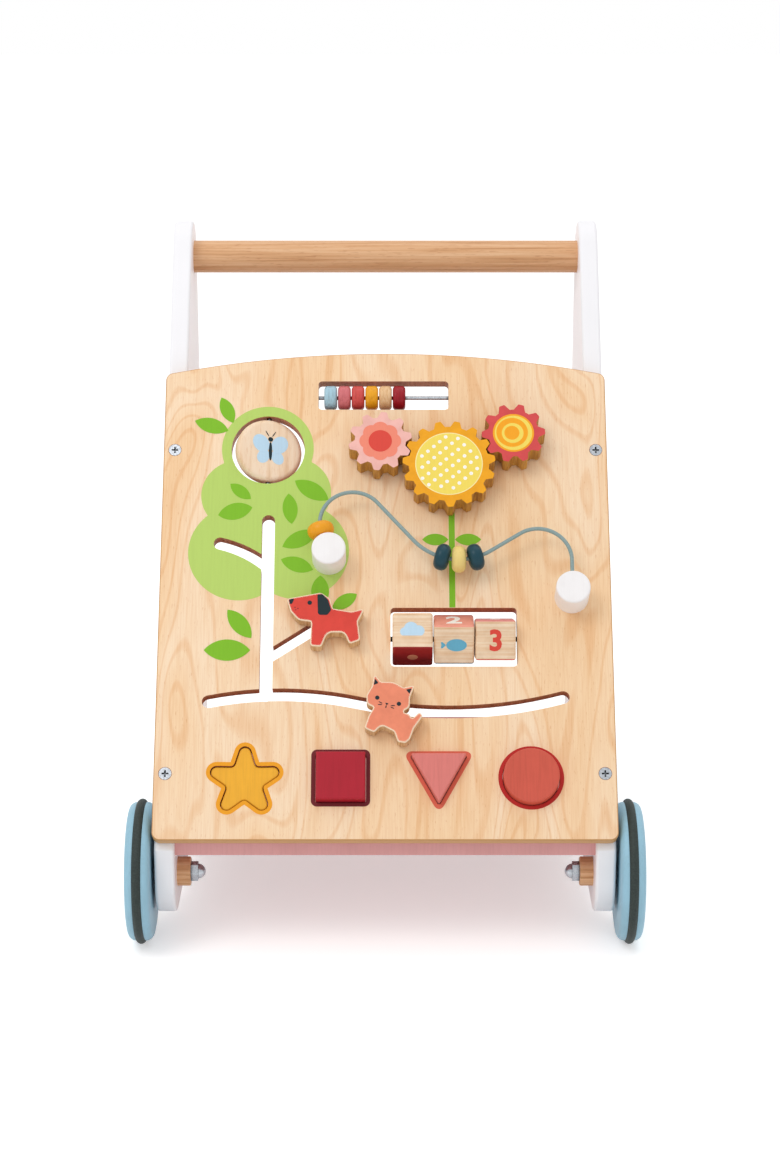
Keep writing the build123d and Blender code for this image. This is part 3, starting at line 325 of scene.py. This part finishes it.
def zinc_steel():
    """Zinc-plated steel: bright and slightly bluish, with fine scuffs in its gloss, and painted shade that
    darkens its recesses.
    """
    material, tree, place = start("zinc_plated_steel", 0.3, 0.5)
    inputs = {"Vector": place, "Scale": per_metre(1.6), "Detail": 4.0, "Roughness": PATCH_ROUGHNESS}
    scuffs = add(tree, "ShaderNodeTexNoise", inputs)
    shader = tree.nodes["Principled BSDF"]
    shader.inputs["Metallic"].default_value = 1.0
    inputs = {"Value": scuffs, "From Min": 0.3, "From Max": 0.7, "To Min": 0.2, "To Max": 0.34}
    tree.links.new(add(tree, "ShaderNodeMapRange", inputs), shader.inputs["Roughness"])
    colour = add(tree, "ShaderNodeValToRGB", {"Fac": scuffs}, [(0.3, "A4A9B0"), (0.7, "C3C8CE")])
    # Painted shade: ambient occlusion darkens the metal in recesses, in the gaps round the heads and in
    # the screw heads' crosses
    open_sky = add(tree, "ShaderNodeAmbientOcclusion", {"Distance": 4 * MM}, samples=8).node.outputs["AO"]
    painted_recess_shade = add(tree, "ShaderNodeValToRGB", {"Fac": open_sky}, [(0.35, "20262B"), (0.85, "FFFFFF")])
    layers = {FACTOR: 1.0, UNDER: colour, OVER: painted_recess_shade}
    colour = add(tree, "ShaderNodeMix", layers, **MULTIPLIED)
    surface(tree, colour, scuffs, 0.05, 0.03)
    return material


def coated_wire():
    """Steel wire with a grey-green powder coat: satin, with a light orange-peel."""
    material, tree, place = start("powder_coated_wire", 0.36, 0.4)
    inputs = {"Vector": place, "Scale": per_metre(0.9), "Detail": 2.0, "Roughness": PATCH_ROUGHNESS}
    peel = add(tree, "ShaderNodeTexNoise", inputs)
    colour = add(tree, "ShaderNodeValToRGB", {"Fac": peel}, [(0.3, "7E9594"), (0.7, "8FA5A4")])
    surface(tree, colour, peel, 0.15, 0.08)
    return material


def tyre_rubber():
    """Moulded rubber ring: near black with a green cast, dull, with fine moulding marks."""
    material, tree, place = start("moulded_rubber", 0.6, 0.3)
    inputs = {"Vector": place, "Scale": per_metre(1.2), "Detail": 4.0, "Roughness": PATCH_ROUGHNESS}
    marks = add(tree, "ShaderNodeTexNoise", inputs)
    colour = add(tree, "ShaderNodeValToRGB", {"Fac": marks}, [(0.3, "27302E"), (0.7, "38423F")])
    surface(tree, colour, marks, 0.25, 0.1)
    return material


def dress(material, *names):
    """Give CAD nodes a material."""
    for name in names:
        mesh = nodes[name].data
        mesh.materials.clear()
        mesh.materials.append(material)


SAWN = ("C8923F", "9F6A2C")
PALE_SAWN = ("DDB98C", "BC8F5C")

dress(side_board_paint(), "side_board_left", "side_board_right")
dress(birch_plywood(), "activity_panel")
dress(toy_paint("pink_toy_paint", "E3A7A6"), "base_shelf", "shelf_rail")
beech = lacquered_wood("lacquered_beech", "E6BA91", "D9A679", "BC875A", 2.4, 120)
dress(beech, "handle_bar", "axle_spacers")
dress(
    zinc_steel(),
    "panel_screws",
    "side_screws",
    "post_screws",
    "axle_bolts",
    "axle_washers",
    "axle_nuts",
    "abacus_rod",
    "cube_rod",
    "disc_rod",
)
dress(coated_wire(), "bead_wire")
dress(toy_paint("white_post_paint", "F7F4F4", 0.4, 0.1, PANEL), "wire_post_left", "wire_post_right")
disc_wood = lacquered_wood("bare_maple_disc", "F6DFC6", "F2D6B8", "E3BE98", 5.0, 90, "Y", disc_seat)
dress(disc_wood, "spinning_disc")
CUBE_PAINTS = (("F2C9A4", "971F22"), ("EFA08C", "A9CBDB"), ("DE8A84", "E58C7B"))
for index, (upper, lower) in enumerate(CUBE_PAINTS):
    dress(cube_wood(f"maple_cube_{index + 1}", cube_seats[index], upper, lower), f"cube_{index + 1}")
wheel_paint = toy_paint("pale_blue_toy_paint", "9CC8DC")
rubber = tyre_rubber()
for corner in ("front_left", "front_right", "rear_left", "rear_right"):
    dress(wheel_paint, f"wheel_{corner}")
    dress(rubber, f"tyre_{corner}")
dowel = lacquered_wood("bare_birch_dowel", "EFD3A8", "E4C08E", "CFA26C", 2.0, 60, "Y", PANEL)
dress(dowel, "gear_shaft_yellow", "gear_shaft_pink", "gear_shaft_red", "dog_peg", "cat_peg")
dress(cut_out("yellow_gear_paint", "F3A81B", GEAR_FRONT, *SAWN), "gear_yellow")
dress(cut_out("pink_gear_paint", "F5BCB2", GEAR_FRONT, *SAWN), "gear_pink")
dress(cut_out("red_gear_paint", "D94F50", GEAR_FRONT, *SAWN), "gear_red")
dress(cut_out("dog_paint", "DF473B", DOG_FRONT, *PALE_SAWN, "F8E3C6"), "dog_figure")
dress(cut_out("cat_paint", "F08E6E", CAT_FRONT, *PALE_SAWN, "F8E3C6"), "cat_figure")
BEAD_PAINTS = {1: "A9CDDD", 2: "D8757A", 3: "D6524E", 4: "F4AC20", 6: "A01426"}
for index, colour in BEAD_PAINTS.items():
    dress(toy_paint(f"bead_paint_{index}", colour, 0.36, 1.0, PANEL), f"abacus_bead_{index}")
bead_wood = lacquered_wood("bare_beech_bead", "EBC79B", "E2B888", "CC9A68", 1.6, 40, "Y", PANEL)
dress(bead_wood, "abacus_bead_5")
WIRE_BEAD_PAINTS = {"yellow": "F2A420", "1": "16424F", "2": "F0D684", "3": "16424F"}
for name, colour in WIRE_BEAD_PAINTS.items():
    dress(toy_paint(f"wire_bead_paint_{name}", colour, 0.34), f"wire_bead_{name}")
BLOCK_PAINTS = {"star": "F4B22F", "square": "B11B2E", "triangle": "E08079", "circle": "D35C4A"}
for name, colour in BLOCK_PAINTS.items():
    dress(toy_paint(f"{name}_block_paint", colour, 0.42, 0.4, PANEL), f"block_{name}")

canopy_ink = print_ink("light_green_ink", "B9D46C")
leaf_ink = print_ink("leaf_green_ink", "80BC28")
dark_ink = print_ink("dark_slate_ink", "1C2C31")
coral_ink = print_ink("coral_ink", "F28C74")
red_ink = print_ink("red_ink", "DD4A3E")
sky_ink = print_ink("sky_blue_ink", "BFDCF0")
sun_ink = print_ink("sun_yellow_ink", "F5DC62")
pale_ink = print_ink("pale_yellow_ink", "FAEDA6")
white_ink = print_ink("white_ink", "FCF9F0")
orange_ink = print_ink("orange_ink", "F8A722")
crimson_ink = print_ink("crimson_ink", "A92F35")
teal_ink = print_ink("teal_blue_ink", "67AFCB")
tan_ink = print_ink("tan_ink", "CE8A6A")


# Flat shapes, in millimetres, that the prints start from

CORNER_STEPS = 8
OUTLINE_RAYS = 360
TIP_STEPS = 12
DIGIT_SIZE = 1.35
DIGIT_WEIGHT = 0.045
WELD = 0.001
FLAT_ANGLE = 0.001


def disc_shape(across, up, radius, segments=64):
    """Flat disc."""
    bm = bmesh.new()
    bmesh.ops.create_circle(bm, cap_ends=True, segments=segments, radius=radius)
    bmesh.ops.translate(bm, verts=bm.verts, vec=(across, up, 0))
    return bm


def oval_shape(across, up, width, height, turn=0.0):
    """Flat oval, turned about its middle."""
    bm = bmesh.new()
    bmesh.ops.create_circle(bm, cap_ends=True, segments=48, radius=0.5)
    bmesh.ops.scale(bm, verts=bm.verts, vec=(width, height, 1))
    bmesh.ops.rotate(bm, verts=bm.verts, matrix=turned(turn, "Z").to_3x3())
    bmesh.ops.translate(bm, verts=bm.verts, vec=(across, up, 0))
    return bm


def leaf_shape(across, up, length, width, turn):
    """Pointed leaf: a slice of a disc, mirrored about its straight side."""
    bm = bmesh.new()
    radius = (length ** 2 / 4 + width ** 2 / 4) / width
    bmesh.ops.create_circle(bm, cap_ends=True, segments=96, radius=radius)
    bmesh.ops.translate(bm, verts=bm.verts, vec=(0, width / 2 - radius, 0))
    geometry = bm.verts[:] + bm.edges[:] + bm.faces[:]
    bmesh.ops.bisect_plane(bm, geom=geometry, plane_co=(0, 0, 0), plane_no=(0, 1, 0), clear_inner=True)
    geometry = bm.verts[:] + bm.edges[:] + bm.faces[:]
    bmesh.ops.mirror(bm, geom=geometry, axis="Y", merge_dist=0.01)
    bmesh.ops.dissolve_limit(bm, angle_limit=FLAT_ANGLE, verts=bm.verts, edges=bm.edges)
    bmesh.ops.rotate(bm, verts=bm.verts, matrix=turned(turn, "Z").to_3x3())
    bmesh.ops.translate(bm, verts=bm.verts, vec=(across, up, 0))
    return bm


def rounded_shape(*corners, middle=(0, 0)):
    """Flat polygon from (across, up, radius) corners, each rounded by its radius."""
    bm = bmesh.new()
    verts = [bm.verts.new((across, up, 0)) for across, up, _ in corners]
    bm.faces.new(verts)
    for vert, (_, _, radius) in zip(verts, corners):
        if radius:
            sides = [edge.other_vert(vert).co - vert.co for edge in vert.link_edges]
            reach = radius / math.tan(sides[0].angle(sides[1]) / 2)
            bmesh.ops.bevel(
                bm,
                geom=[vert],
                offset=reach,
                offset_type="OFFSET",
                segments=CORNER_STEPS,
                profile=0.5,
                affect="VERTICES",
                material=-1,
            )
    bmesh.ops.translate(bm, verts=bm.verts, vec=(*middle, 0))
    return bm


def merged_shape(middle, discs, foot=None):
    """One outline round overlapping discs, found along rays from a point inside them.

    Where a foot is given, the outline is cut flat there.
    """
    points = []
    for across, up in around(OUTLINE_RAYS, 1.0):
        reach = 0.0
        for disc_across, disc_up, radius in discs:
            offset = (disc_across - middle[0], disc_up - middle[1])
            along = offset[0] * across + offset[1] * up
            aside = offset[0] * up - offset[1] * across
            if abs(aside) < radius:
                reach = max(reach, along + math.sqrt(radius ** 2 - aside ** 2))
        if foot is not None and up < 0:
            reach = min(reach, (foot - middle[1]) / up)
        points.append((middle[0] + reach * across, middle[1] + reach * up, 0))
    return rounded_shape(*points)


def star_shape(middle, ring, tip_radius, tip_arc, notch):
    """Five-armed star: an arc round each tip, which sits on a ring, then a sharp notch."""
    points = []
    for arm in range(5):
        lean = 90 + 72 * arm
        for step in range(TIP_STEPS + 1):
            turn = math.radians(lean + tip_arc * (2 * step / TIP_STEPS - 1))
            across = ring * math.cos(math.radians(lean)) + tip_radius * math.cos(turn)
            up = ring * math.sin(math.radians(lean)) + tip_radius * math.sin(turn)
            points.append((across, up, 0))
        turn = math.radians(lean + 36)
        points.append((notch * math.cos(turn), notch * math.sin(turn), 0))
    return rounded_shape(*points, middle=middle)


def digit_shape(character, height):
    """Rounded bold digit about its own middle."""
    text = bpy.data.curves.new("digit", "FONT")
    text.body = character
    text.size = height * DIGIT_SIZE
    text.offset = height * DIGIT_WEIGHT
    text.resolution_u = 4
    holder = bpy.data.objects.new("digit", text)
    bpy.context.scene.collection.objects.link(holder)
    bpy.context.view_layer.update()
    mesh = bpy.data.meshes.new_from_object(holder.evaluated_get(bpy.context.evaluated_depsgraph_get()))
    bpy.data.objects.remove(holder)
    bm = bmesh.new()
    bm.from_mesh(mesh)
    bmesh.ops.remove_doubles(bm, verts=bm.verts, dist=WELD)
    spans = [[vert.co[axis] for vert in bm.verts] for axis in (0, 1)]
    shift = [-(min(span) + max(span)) / 2 for span in spans]
    bmesh.ops.translate(bm, verts=bm.verts, vec=(*shift, 0))
    return bm


def around(count, radius, turn=0.0):
    """Points evenly round a ring, the first at an angle in degrees."""
    angles = [math.radians(turn + 360 * i / count) for i in range(count)]
    return [(radius * math.cos(a), radius * math.sin(a)) for a in angles]


# Prints are thin raised layers that ride on the piece they are printed on


def linked(name, mesh):
    """New object of the scene."""
    made = bpy.data.objects.new(name, mesh)
    bpy.context.scene.collection.objects.link(made)
    return made


def thickened(shapes, low, high, place):
    """One mesh from flat shapes, each a closed prism between two heights, at its place on the walker."""
    joined = bmesh.new()
    for shape in shapes:
        bmesh.ops.translate(shape, verts=shape.verts, vec=(0, 0, low))
        made = bmesh.ops.extrude_face_region(shape, geom=shape.faces[:])
        tops = [item for item in made["geom"] if isinstance(item, bmesh.types.BMVert)]
        bmesh.ops.translate(shape, verts=tops, vec=(0, 0, high - low))
        bmesh.ops.recalc_face_normals(shape, faces=shape.faces)
        part = bpy.data.meshes.new("part")
        shape.to_mesh(part)
        shape.free()
        joined.from_mesh(part)
    bmesh.ops.scale(joined, verts=joined.verts, vec=(MM, MM, MM))
    bmesh.ops.transform(joined, matrix=place, verts=joined.verts)
    mesh = bpy.data.meshes.new("film")
    joined.to_mesh(mesh)
    joined.free()
    return mesh


def raised_panel(height):
    """Merged copy of the panel whose front stands a print's depth over a height, to cut prints to."""
    bm = bmesh.new()
    bm.from_mesh(nodes["activity_panel"].data)
    bmesh.ops.remove_doubles(bm, verts=bm.verts, dist=1e-6)
    lift = PANEL_TURN.to_3x3() @ Vector((0, 0, (height + PRINT_DEPTH) * MM))
    bmesh.ops.translate(bm, verts=bm.verts, vec=lift)
    mesh = bpy.data.meshes.new("raised_panel")
    bm.to_mesh(mesh)
    bm.free()
    return linked("raised_panel", mesh)


def printed(name, shapes, place, height, body, ink, keeper=None):
    """Printed layer of flat shapes on a face at a height, riding on its body.

    Where a keeper is given, the layer is cut to it.
    """
    top = height + PRINT_DEPTH + (KEEPER_SPARE if keeper else 0.0)
    piece = linked(name, thickened(shapes, height - PRINT_SINK, top, place))
    if keeper:
        cut = piece.modifiers.new("cut", "BOOLEAN")
        cut.operation = "INTERSECT"
        cut.solver = "EXACT"
        cut.object = keeper
        bpy.context.view_layer.update()
        graph = bpy.context.evaluated_depsgraph_get()
        mesh = bpy.data.meshes.new_from_object(piece.evaluated_get(graph))
        piece.modifiers.clear()
        piece.data = mesh
    piece.data.shade_flat()
    piece.data.materials.clear()
    piece.data.materials.append(ink)
    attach(piece, body)


panel_keeper = raised_panel(0.0)
leaf_keeper = raised_panel(PRINT_DEPTH)

# Tree and flower printed on the panel

CANOPY = (
    (-91.5, 314.0, 35.7),
    (-113.0, 275.0, 29.4),
    (-71.0, 277.0, 29.0),
    (-92.0, 270.0, 30.0),
    (-112.0, 227.5, 39.3),
    (-67.2, 228.5, 39.3),
)
# Leaves: middle across and up, length, width, turn
LEAVES = (
    (-135.7, 333.6, 27.6, 12.4, -17.5),
    (-123.7, 346.8, 23.7, 10.6, -66.0),
    (-112.0, 278.0, 20.4, 9.4, -38.0),
    (-115.8, 261.4, 27.0, 13.6, 14.0),
    (-57.0, 279.0, 30.6, 13.4, -31.5),
    (-73.5, 263.6, 25.4, 11.6, -84.0),
    (-65.8, 238.4, 29.4, 13.0, 25.5),
    (-67.6, 217.4, 26.1, 12.0, -19.0),
    (-49.7, 195.5, 26.0, 13.6, -90.0),
    (-31.0, 187.4, 22.0, 10.6, 32.0),
    (-110.8, 169.2, 29.3, 12.8, -51.0),
    (-119.8, 148.1, 35.1, 17.0, 0.0),
    (38.4, 238.0, 20.0, 9.5, 0.0),
    (63.6, 238.0, 20.0, 9.5, 0.0),
)
STEM = ((48.8, 182.5, 0), (53.4, 182.5, 0), (53.4, 272, 0), (48.8, 272, 0))
canopy = [merged_shape((-91.0, 262.0), CANOPY)]
printed("canopy_print", canopy, PANEL, 0.0, "frame", canopy_ink, panel_keeper)
printed("flower_stem_print", [rounded_shape(*STEM)], PANEL, 0.0, "frame", leaf_ink, panel_keeper)
leaves = [leaf_shape(*leaf) for leaf in LEAVES]
printed("leaf_prints", leaves, PANEL, 0.0, "frame", leaf_ink, leaf_keeper)

# Painted rims round the shape holes

SQUARE_RIM = ((-22, -22, 4.5), (22, -22, 4.5), (22, 22, 4.5), (-22, 22, 4.5))
TRIANGLE_RIM = ((-27.04, 22, 4.5), (0, -26.78, 4.5), (27.04, 22, 4.5))
RIMS = (
    ("star", [star_shape((-104.5, 45.2), 22.0, 8.0, 72.87, 18.1)], print_ink("amber_ink", "F0A120")),
    ("square", [rounded_shape(*SQUARE_RIM, middle=(-33.1, 47.6))], print_ink("maroon_ink", "6E2027")),
    ("triangle", [rounded_shape(*TRIANGLE_RIM, middle=(39.9, 46.3))], print_ink("brick_ink", "DA6650")),
    ("circle", [disc_shape(108.6, 47.7, 24.5)], print_ink("scarlet_ink", "BC2A27")),
)
for name, shapes, ink in RIMS:
    printed(f"{name}_rim_print", shapes, PANEL, 0.0, "frame", ink, panel_keeper)

# Gear faces


def on_gear(name, shapes, gear, ink, layer=0.0):
    """Print on a gear's front, in the given layer over the paint."""
    height = GEAR_FRONT + layer * PRINT_DEPTH
    printed(name, shapes, on_pivot(f"{gear}_gear_turn"), height, f"gear_{gear}", ink)


petals = [(x, y, 6.4) for x, y in around(8, 9.7)]
on_gear("flower_petals_print", [merged_shape((0, 0), petals)], "pink", coral_ink)
on_gear("flower_middle_print", [disc_shape(0, 0, 9.0)], "pink", red_ink, 1)
on_gear("sun_edge_print", [disc_shape(0, 0, 26.0, 96)], "yellow", pale_ink)
on_gear("sun_disc_print", [disc_shape(0, 0, 25.2, 96)], "yellow", sun_ink, 0.5)
DOT_START = Vector((-2.0, 3.7))
DOT_COLUMN = Vector((9.4, -1.3))
DOT_ROW = Vector((4.6, 4.0))
DOT_RADIUS = 1.45
DOTTED_RADIUS = 24.2
dots = []
for column in range(-6, 7):
    for row in range(-9, 10):
        spot = DOT_COLUMN * column + DOT_ROW * row + DOT_START
        if spot.length < DOTTED_RADIUS:
            dots.append(disc_shape(*spot, DOT_RADIUS, 20))
on_gear("sun_dots_print", dots, "yellow", white_ink, 1)
RINGS = (
    (0.0, 0.0, 15.9, orange_ink),
    (0.0, 0.0, 14.5, sun_ink),
    (-1.0, 0.4, 12.2, orange_ink),
    (-0.6, -0.2, 8.4, sun_ink),
    (-1.2, 0.0, 5.8, orange_ink),
)
for index, (across, up, radius, ink) in enumerate(RINGS):
    on_gear(f"ring_print_{index + 1}", [disc_shape(across, up, radius)], "red", ink, index / 2)

# Dog and cat faces

DOG_EAR = (
    (-7.4, 15.9, 0.8),
    (-3.6, 16.4, 1.8),
    (0.6, 12.0, 4.0),
    (3.2, 3.6, 2.2),
    (0.4, -0.4, 2.2),
    (-6.8, -0.4, 2.2),
)
DOG_NOSE = ((-28.9, 12.1, 1.0), (-24.6, 12.8, 0.8), (-26.6, 8.4, 0.8), (-28.3, 8.6, 0.6))
dog_face = [rounded_shape(*DOG_EAR), rounded_shape(*DOG_NOSE), disc_shape(-13.1, 9.4, 1.7, 32)]
dog_face += [disc_shape(x, y, 0.4, 12) for x, y in ((-24.2, 5.6), (-22.0, 4.8), (-23.6, 3.6))]
dog_place = on_pivot("dog_turn")
printed("dog_face_print", dog_face, dog_place, DOG_FRONT, "dog_figure", dark_ink)

CAT_NOSE = ((-2.9, -0.7, 0.3), (-0.1, -0.7, 0.3), (-1.5, -2.4, 0.3))
CAT_MOUTH = ((-1.85, -2.6, 0), (-1.85, -4.6, 0), (-1.15, -4.6, 0), (-1.15, -2.6, 0))
CAT_LEFT_EAR = ((-15.2, 15.6, 0.4), (-11.8, 12.8, 0.4), (-14.8, 10.4, 0.4))
CAT_RIGHT_EAR = ((13.4, 15.2, 0.4), (12.8, 10.6, 0.4), (9.6, 13.2, 0.4))
cat_face = [rounded_shape(*corners) for corners in (CAT_NOSE, CAT_MOUTH, CAT_LEFT_EAR, CAT_RIGHT_EAR)]
cat_face += [disc_shape(-9.6, 1.5, 1.6, 32), disc_shape(7.2, 1.0, 1.6, 32)]
for side in (-1, 1):
    cat_face.append(oval_shape(-1.5 + side * 4.8, -1.5, 3.2, 0.7, side * 12))
    cat_face.append(oval_shape(-1.5 + side * 4.8, -3.2, 3.2, 0.7, side * -12))
cat_place = on_pivot("cat_turn") @ turned(-15, "Z")
printed("cat_face_print", cat_face, cat_place, CAT_FRONT, "cat_figure", dark_ink)

# Butterfly on both faces of the spinning disc

for side_name, turn in (("front", 0), ("back", 180)):
    face = disc_seat @ turned(turn, "Y")
    upper = [oval_shape(side * 7.4, 4.6, 12.5, 15.5, side * -32) for side in (-1, 1)]
    lower = [oval_shape(side * 5.6, -6.2, 9.5, 12.0, side * 28) for side in (-1, 1)]
    middle = [oval_shape(0, -1.4, 2.6, 15.6), disc_shape(0, 8.6, 1.9, 32)]
    middle += [oval_shape(side * 2.7, 13.2, 0.7, 5.4, side * -32) for side in (-1, 1)]
    layers = (("lower_wings", lower, sky_ink), ("upper_wings", upper, sky_ink), ("body", middle, dark_ink))
    for layer, (kind, shapes, ink) in enumerate(layers):
        height = DISC_FRONT + layer * PRINT_DEPTH / 2
        printed(f"butterfly_{kind}_{side_name}", shapes, face, height, "spinning_disc", ink)

# Prints on the turning cubes

FRONT, UPPER, REAR, LOWER = range(4)


def cloud():
    """Cloud from overlapping discs on a flat foot."""
    puffs = ((-5.6, -1.4, 3.9), (-1.2, 1.8, 5.2), (4.4, -0.6, 4.6), (-0.6, -2.0, 4.5))
    return [merged_shape((-0.6, -1.4), puffs, foot=-4.6)]


def fish():
    """Fish from an oval and a tail."""
    tail = ((-6.2, 0, 0.4), (-11.0, 4.8, 1.2), (-9.6, 0, 0.4), (-11.0, -4.8, 1.2))
    return [oval_shape(1.8, 0, 15.5, 9.6), rounded_shape(*tail)]


CUBE_PRINTS = (
    (0, FRONT, "cloud", cloud(), sky_ink),
    (0, UPPER, "digit", [digit_shape("1", 16)], coral_ink),
    (0, REAR, "digit", [digit_shape("4", 16)], crimson_ink),
    (0, LOWER, "spot", [oval_shape(0, 0, 8, 8)], tan_ink),
    (1, FRONT, "fish", fish(), teal_ink),
    (1, UPPER, "digit", [digit_shape("2", 18)], white_ink),
    (1, REAR, "digit", [digit_shape("5", 16)], red_ink),
    (1, LOWER, "spot", [oval_shape(0, 0, 8, 8)], white_ink),
    (2, FRONT, "digit", [digit_shape("3", 16)], red_ink),
    (2, UPPER, "spot", [oval_shape(0, 0, 8, 8)], white_ink),
    (2, REAR, "cloud", cloud(), sky_ink),
    (2, LOWER, "digit", [digit_shape("6", 16)], white_ink),
)
for index, side, kind, shapes, ink in CUBE_PRINTS:
    body = f"cube_{index + 1}"
    face = cube_seats[index] @ turned(-90 * side, "X")
    printed(f"{body}_{kind}_{side}", shapes, face, CUBE_FRONT, body, ink)

for keeper in (panel_keeper, leaf_keeper):
    bpy.data.objects.remove(keeper)

# Floor, light and camera

FLOOR_HALF_SIZE = 6.0
FLOOR_LIFT = 0.42
SKY_LIGHT = 0.74
SKY_SEEN = 1.0


def seen(tree):
    """One for the rays that show the background itself: to the camera, in gloss and through glass."""
    rays = add(tree, "ShaderNodeLightPath").node.outputs
    pair = {0: rays["Is Camera Ray"], 1: rays["Is Glossy Ray"]}
    shown = add(tree, "ShaderNodeMath", pair, operation="MAXIMUM")
    return add(tree, "ShaderNodeMath", {0: shown, 1: rays["Is Transmission Ray"]}, operation="MAXIMUM")


def paper_sweep():
    """Matt white paper: lifted to white where it is seen, so that only the walker's soft shadow shows."""
    material, tree, _ = start("white_paper_sweep", 0.9, 0.1)
    shader = tree.nodes["Principled BSDF"]
    shader.inputs["Base Color"].default_value = linear("F7F7F7")
    shader.inputs["Emission Color"].default_value = linear("FFFFFF")
    lift = add(tree, "ShaderNodeMath", {0: seen(tree), 1: FLOOR_LIFT}, operation="MULTIPLY")
    tree.links.new(lift, shader.inputs["Emission Strength"])
    return material


floor_mesh = bpy.data.meshes.new("studio_floor")
sweep = bmesh.new()
bmesh.ops.create_grid(sweep, x_segments=1, y_segments=1, size=FLOOR_HALF_SIZE)
sweep.to_mesh(floor_mesh)
sweep.free()
floor_mesh.materials.append(paper_sweep())
linked("studio_floor", floor_mesh)

world = bpy.data.worlds.new("studio")
bpy.context.scene.world = world
world.use_nodes = True
sky = world.node_tree
strength = add(sky, "ShaderNodeMapRange", {"Value": seen(sky), "To Min": SKY_LIGHT, "To Max": SKY_SEEN})
sky.nodes["Background"].inputs["Color"].default_value = linear("FFFFFF")
sky.links.new(strength, sky.nodes["Background"].inputs["Strength"])


def softbox(name, place, target, size, power):
    """Large square lamp that faces a target."""
    data = bpy.data.lights.new(name, "AREA")
    data.shape = "SQUARE"
    data.size = size
    data.energy = power
    lamp = bpy.data.objects.new(name, data)
    bpy.context.scene.collection.objects.link(lamp)
    lamp.location = place
    lamp.rotation_mode = "QUATERNION"
    lamp.rotation_quaternion = (Vector(target) - Vector(place)).to_track_quat("-Z", "Y")


softbox("key_softbox", (-1.1, -1.2, 2.2), (0, 0, 0.25), size=1.1, power=14.5)
softbox("top_softbox", (0.5, 0.4, 2.6), (0, 0, 0.2), size=1.8, power=9.0)

camera = bpy.data.objects.new("camera", bpy.data.cameras.new("camera"))
bpy.context.scene.collection.objects.link(camera)
camera.data.lens = 80.98
camera.data.sensor_width = 36.0
camera.location = (0.0036, -1.983, 0.857)
camera.rotation_euler = (math.radians(72.5), 0, 0)
bpy.context.scene.camera = camera
bpy.context.scene.view_settings.view_transform = "Standard"
